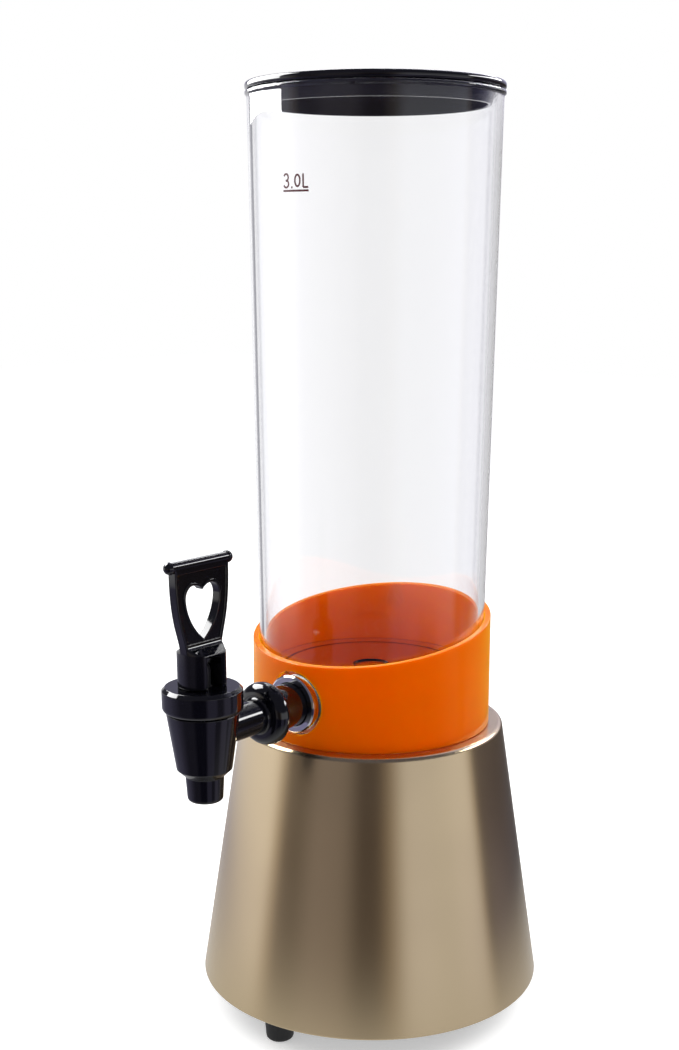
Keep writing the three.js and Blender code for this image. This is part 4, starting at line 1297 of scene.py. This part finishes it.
# Name, degrees from the camera, distance, foot, top, width, share of the highlights
PANELS = (
    ("panel_left", -115, 0.6, 0.52, 1.2, 0.65, 1.0),
    ("panel_right", 114, 1.1, 0.66, 0.87, 1.12, 1.0),
    ("panel_back", 171, 1.33, 1.06, 1.23, 0.9, 0.7),
)
FILLS = (("fill_left", -105, 1.6), ("fill_right", 95, 1.2))  # name, degrees, width
FILL_FAR, FILL_LEVEL, FILL_AIM, FILL_TALL = 1.3, 1.35, 0.25, 1.2  # aimed at 0.25 m up
SENSOR = 36  # millimetres across the sensor's long side


def tone_stops(tones):
    """Ramp stops, from 0 at -180 degrees to 1 at 180 in the world, of tones by direction."""
    placed = sorted(
        (((angle + CAMERA_AZIMUTH + 180) % 360) / 360, Vector(tone)) for angle, *tone in tones
    )
    first, last = placed[0], placed[-1]
    gap = first[0] + 1 - last[0]
    seam = last[1].lerp(first[1], (1 - last[0]) / gap)
    return [(0, seam), *placed, (1, seam)]


def studio_world(stage):
    """White room for the eye, even light for matt surfaces and panels of tone for gloss."""
    world = bpy.data.worlds.new("soft_studio")
    world.use_nodes = True
    world.cycles.sampling_method = "NONE"
    tree = world.node_tree
    tree.nodes.clear()
    way = node(tree, "ShaderNodeTexCoord").outputs["Generated"]
    parts = node(tree, "ShaderNodeSeparateXYZ", {"Vector": way}).outputs
    turn = node(tree, "ShaderNodeMath", {0: parts["Y"], 1: parts["X"]}, operation="ARCTAN2")
    span = node(tree, "ShaderNodeMapRange", {
        "Value": turn.outputs["Value"], "From Min": -math.pi, "From Max": math.pi
    }).outputs["Result"]
    low, level, high, bounced, straight = (
        node(tree, "ShaderNodeValToRGB", {"Fac": span}, tone_stops(tones)).outputs["Color"]
        for tones in (LOW_TONES, LEVEL_TONES, HIGH_TONES, THROUGH_TONES, STRAIGHT_TONES)
    )
    level_share, high_share = (
        node(tree, "ShaderNodeMapRange", {
            "Value": parts["Z"], "From Min": start, "From Max": end
        }).outputs["Result"]
        for start, end in (LEVEL_FROM, HIGH_FROM)
    )
    path = node(tree, "ShaderNodeLightPath").outputs
    ambient = (stage.ambient, stage.ambient, stage.ambient, 1)
    colours = {"gloss": low, "through": straight, "shown": ambient}
    for name, part, tone in (
        ("gloss", level_share, level), ("gloss", high_share, high),
        ("through", path["Glossy Depth"], bounced), ("shown", path["Is Glossy Ray"], "gloss"),
        ("shown", path["Is Transmission Ray"], "through"),
        ("shown", path["Is Camera Ray"], (1, 1, 1, 1)),
    ):
        sockets = {"Factor": part, 6: colours[name], 7: colours.get(tone, tone)}
        mixed = node(tree, "ShaderNodeMix", sockets, data_type="RGBA", clamp_factor=True)
        colours[name] = mixed.outputs[2]
    lit = node(tree, "ShaderNodeBackground", {"Color": colours["shown"], "Strength": 1.0})
    node(tree, "ShaderNodeOutputWorld", {"Surface": lit.outputs["Background"]})
    return world


def aimed(made, place, target):
    """Put a lamp or camera somewhere and point it at a target."""
    made.location = place
    made.rotation_euler = (Vector(target) - Vector(place)).to_track_quat("-Z", "Y").to_euler()


class MakeStage(bpy.types.Operator):
    """Camera at the photograph's angle, a pale floor, soft lamps and a white room"""

    bl_idname = "dispenser.make_stage"
    bl_label = "Stage"

    def execute(self, context):
        stage = context.scene.dispenser_stage
        scene = context.scene
        self.camera(scene, stage)
        scene.view_settings.view_transform = "Standard"
        scene.world = studio_world(stage)
        self.floor(stage)
        for name, turn, far, low, high, wide, share_of in PANELS:
            middle = (low + high) / 2
            radiance = stage.highlight * share_of
            lamp = self.lamp(name, turn, far, middle, middle, wide, high - low, radiance)
            lamp.visible_diffuse = False
        for name, turn, wide in FILLS:
            radiance = stage.fill / wide
            lamp = self.lamp(
                name, turn, FILL_FAR, FILL_LEVEL, FILL_AIM, wide, FILL_TALL, radiance
            )
            lamp.visible_glossy = False
        return {"FINISHED"}

    def camera(self, scene, stage):
        """The camera, with the lens rise that frames the tower."""
        data = bpy.data.cameras.new("camera")
        data.lens = stage.lens
        data.sensor_width = SENSOR
        data.shift_y = stage.rise
        made = linked("camera", data)
        place = Vector(stage.camera_place)
        aimed(made, place, place + Vector(stage.camera_look))
        scene.camera = made

    def floor(self, stage):
        """Matt white floor that glows a little, so that it stays white to the horizon."""
        half = stage.floor / 2
        mesh = bmesh.new()
        corners = (-half, -half), (half, -half), (half, half), (-half, half)
        mesh.faces.new([mesh.verts.new((x, y, 0)) for x, y in corners])
        made = raw("floor", mesh)
        material, tree, shader = new_finish(
            "white_paper", stage.floor_white, Roughness=1.0, Specular_IOR_Level=0.0,
            Emission_Color=(1, 1, 1, 1), Emission_Strength=stage.floor_glow,
        )
        # Seamless white paper, lit from above. Gloss mirrors it only near the stand, as in a
        # dim room
        place = node(tree, "ShaderNodeTexCoord").outputs["Object"]
        away = node(tree, "ShaderNodeVectorMath", {0: place}, operation="LENGTH").outputs["Value"]
        fade = node(tree, "ShaderNodeMapRange", {
            "Value": away, "From Min": stage.mirror_start, "From Max": stage.mirror_end
        }).outputs["Result"]
        pale = node(tree, "ShaderNodeEmission", {"Strength": stage.mirror_glow})
        clear = node(tree, "ShaderNodeBsdfTransparent")
        mirrored_floor = node(tree, "ShaderNodeMixShader", {
            0: fade, 1: pale.outputs["Emission"], 2: clear.outputs["BSDF"]
        })
        glossy = node(tree, "ShaderNodeLightPath").outputs["Is Glossy Ray"]
        both = node(tree, "ShaderNodeMixShader", {
            0: glossy, 1: shader.outputs["BSDF"], 2: mirrored_floor.outputs["Shader"]
        })
        tree.links.new(both.outputs["Shader"], tree.nodes["Material Output"].inputs["Surface"])
        made.data.materials.append(material)
        made.visible_transmission = False

    def lamp(self, name, turn, far, level, aim, wide, tall, radiance):
        """A rectangular lamp, by degrees from the camera, that faces the tower's axis."""
        data = bpy.data.lights.new(name, "AREA")
        data.shape = "RECTANGLE"
        data.size = wide
        data.size_y = tall
        data.energy = radiance * math.pi * wide * tall
        made = linked(name, data)
        angle = math.radians(turn + CAMERA_AZIMUTH)
        place = far * math.cos(angle), TOWER_Y + far * math.sin(angle), level
        aimed(made, place, (0, TOWER_Y, aim))
        made.visible_camera = False
        made.visible_transmission = False
        return made


OPERATORS = (
    MakeStage, MakeStand, MakeFeet, FinishUnderside, MakeTube, MakeMark, MakeCollar,
    MakeFalseFloor, MakeLid, MakeTapBody, MakeBonnet, MakeTrimRing, MakeHandle, MakeSpring,
    FinishValve,
)


class DispenserPanel(bpy.types.Panel):
    """Lists the dispenser's pieces and stage."""

    bl_idname = "VIEW3D_PT_dispenser"
    bl_label = "Dispenser"
    bl_space_type = "VIEW_3D"
    bl_region_type = "UI"
    bl_category = "Dispenser"

    def draw(self, context):
        for operator in OPERATORS:
            self.layout.operator(operator.bl_idname)


def register():
    """Register the settings, the operators and the panel."""
    for name, group in GROUPS.items():
        bpy.utils.register_class(group)
        setattr(bpy.types.Scene, name, PointerProperty(type=group))
    for kind in (*OPERATORS, DispenserPanel):
        bpy.utils.register_class(kind)


def unregister():
    """Take away all that register adds."""
    for kind in reversed((*OPERATORS, DispenserPanel)):
        bpy.utils.unregister_class(kind)
    for name, group in reversed(GROUPS.items()):
        delattr(bpy.types.Scene, name)
        bpy.utils.unregister_class(group)


def main():
    """Build every piece and the stage."""
    register()
    for operator in OPERATORS:
        group, name = operator.bl_idname.split(".")
        getattr(getattr(bpy.ops, group), name)()


if __name__ == "__main__":
    main()
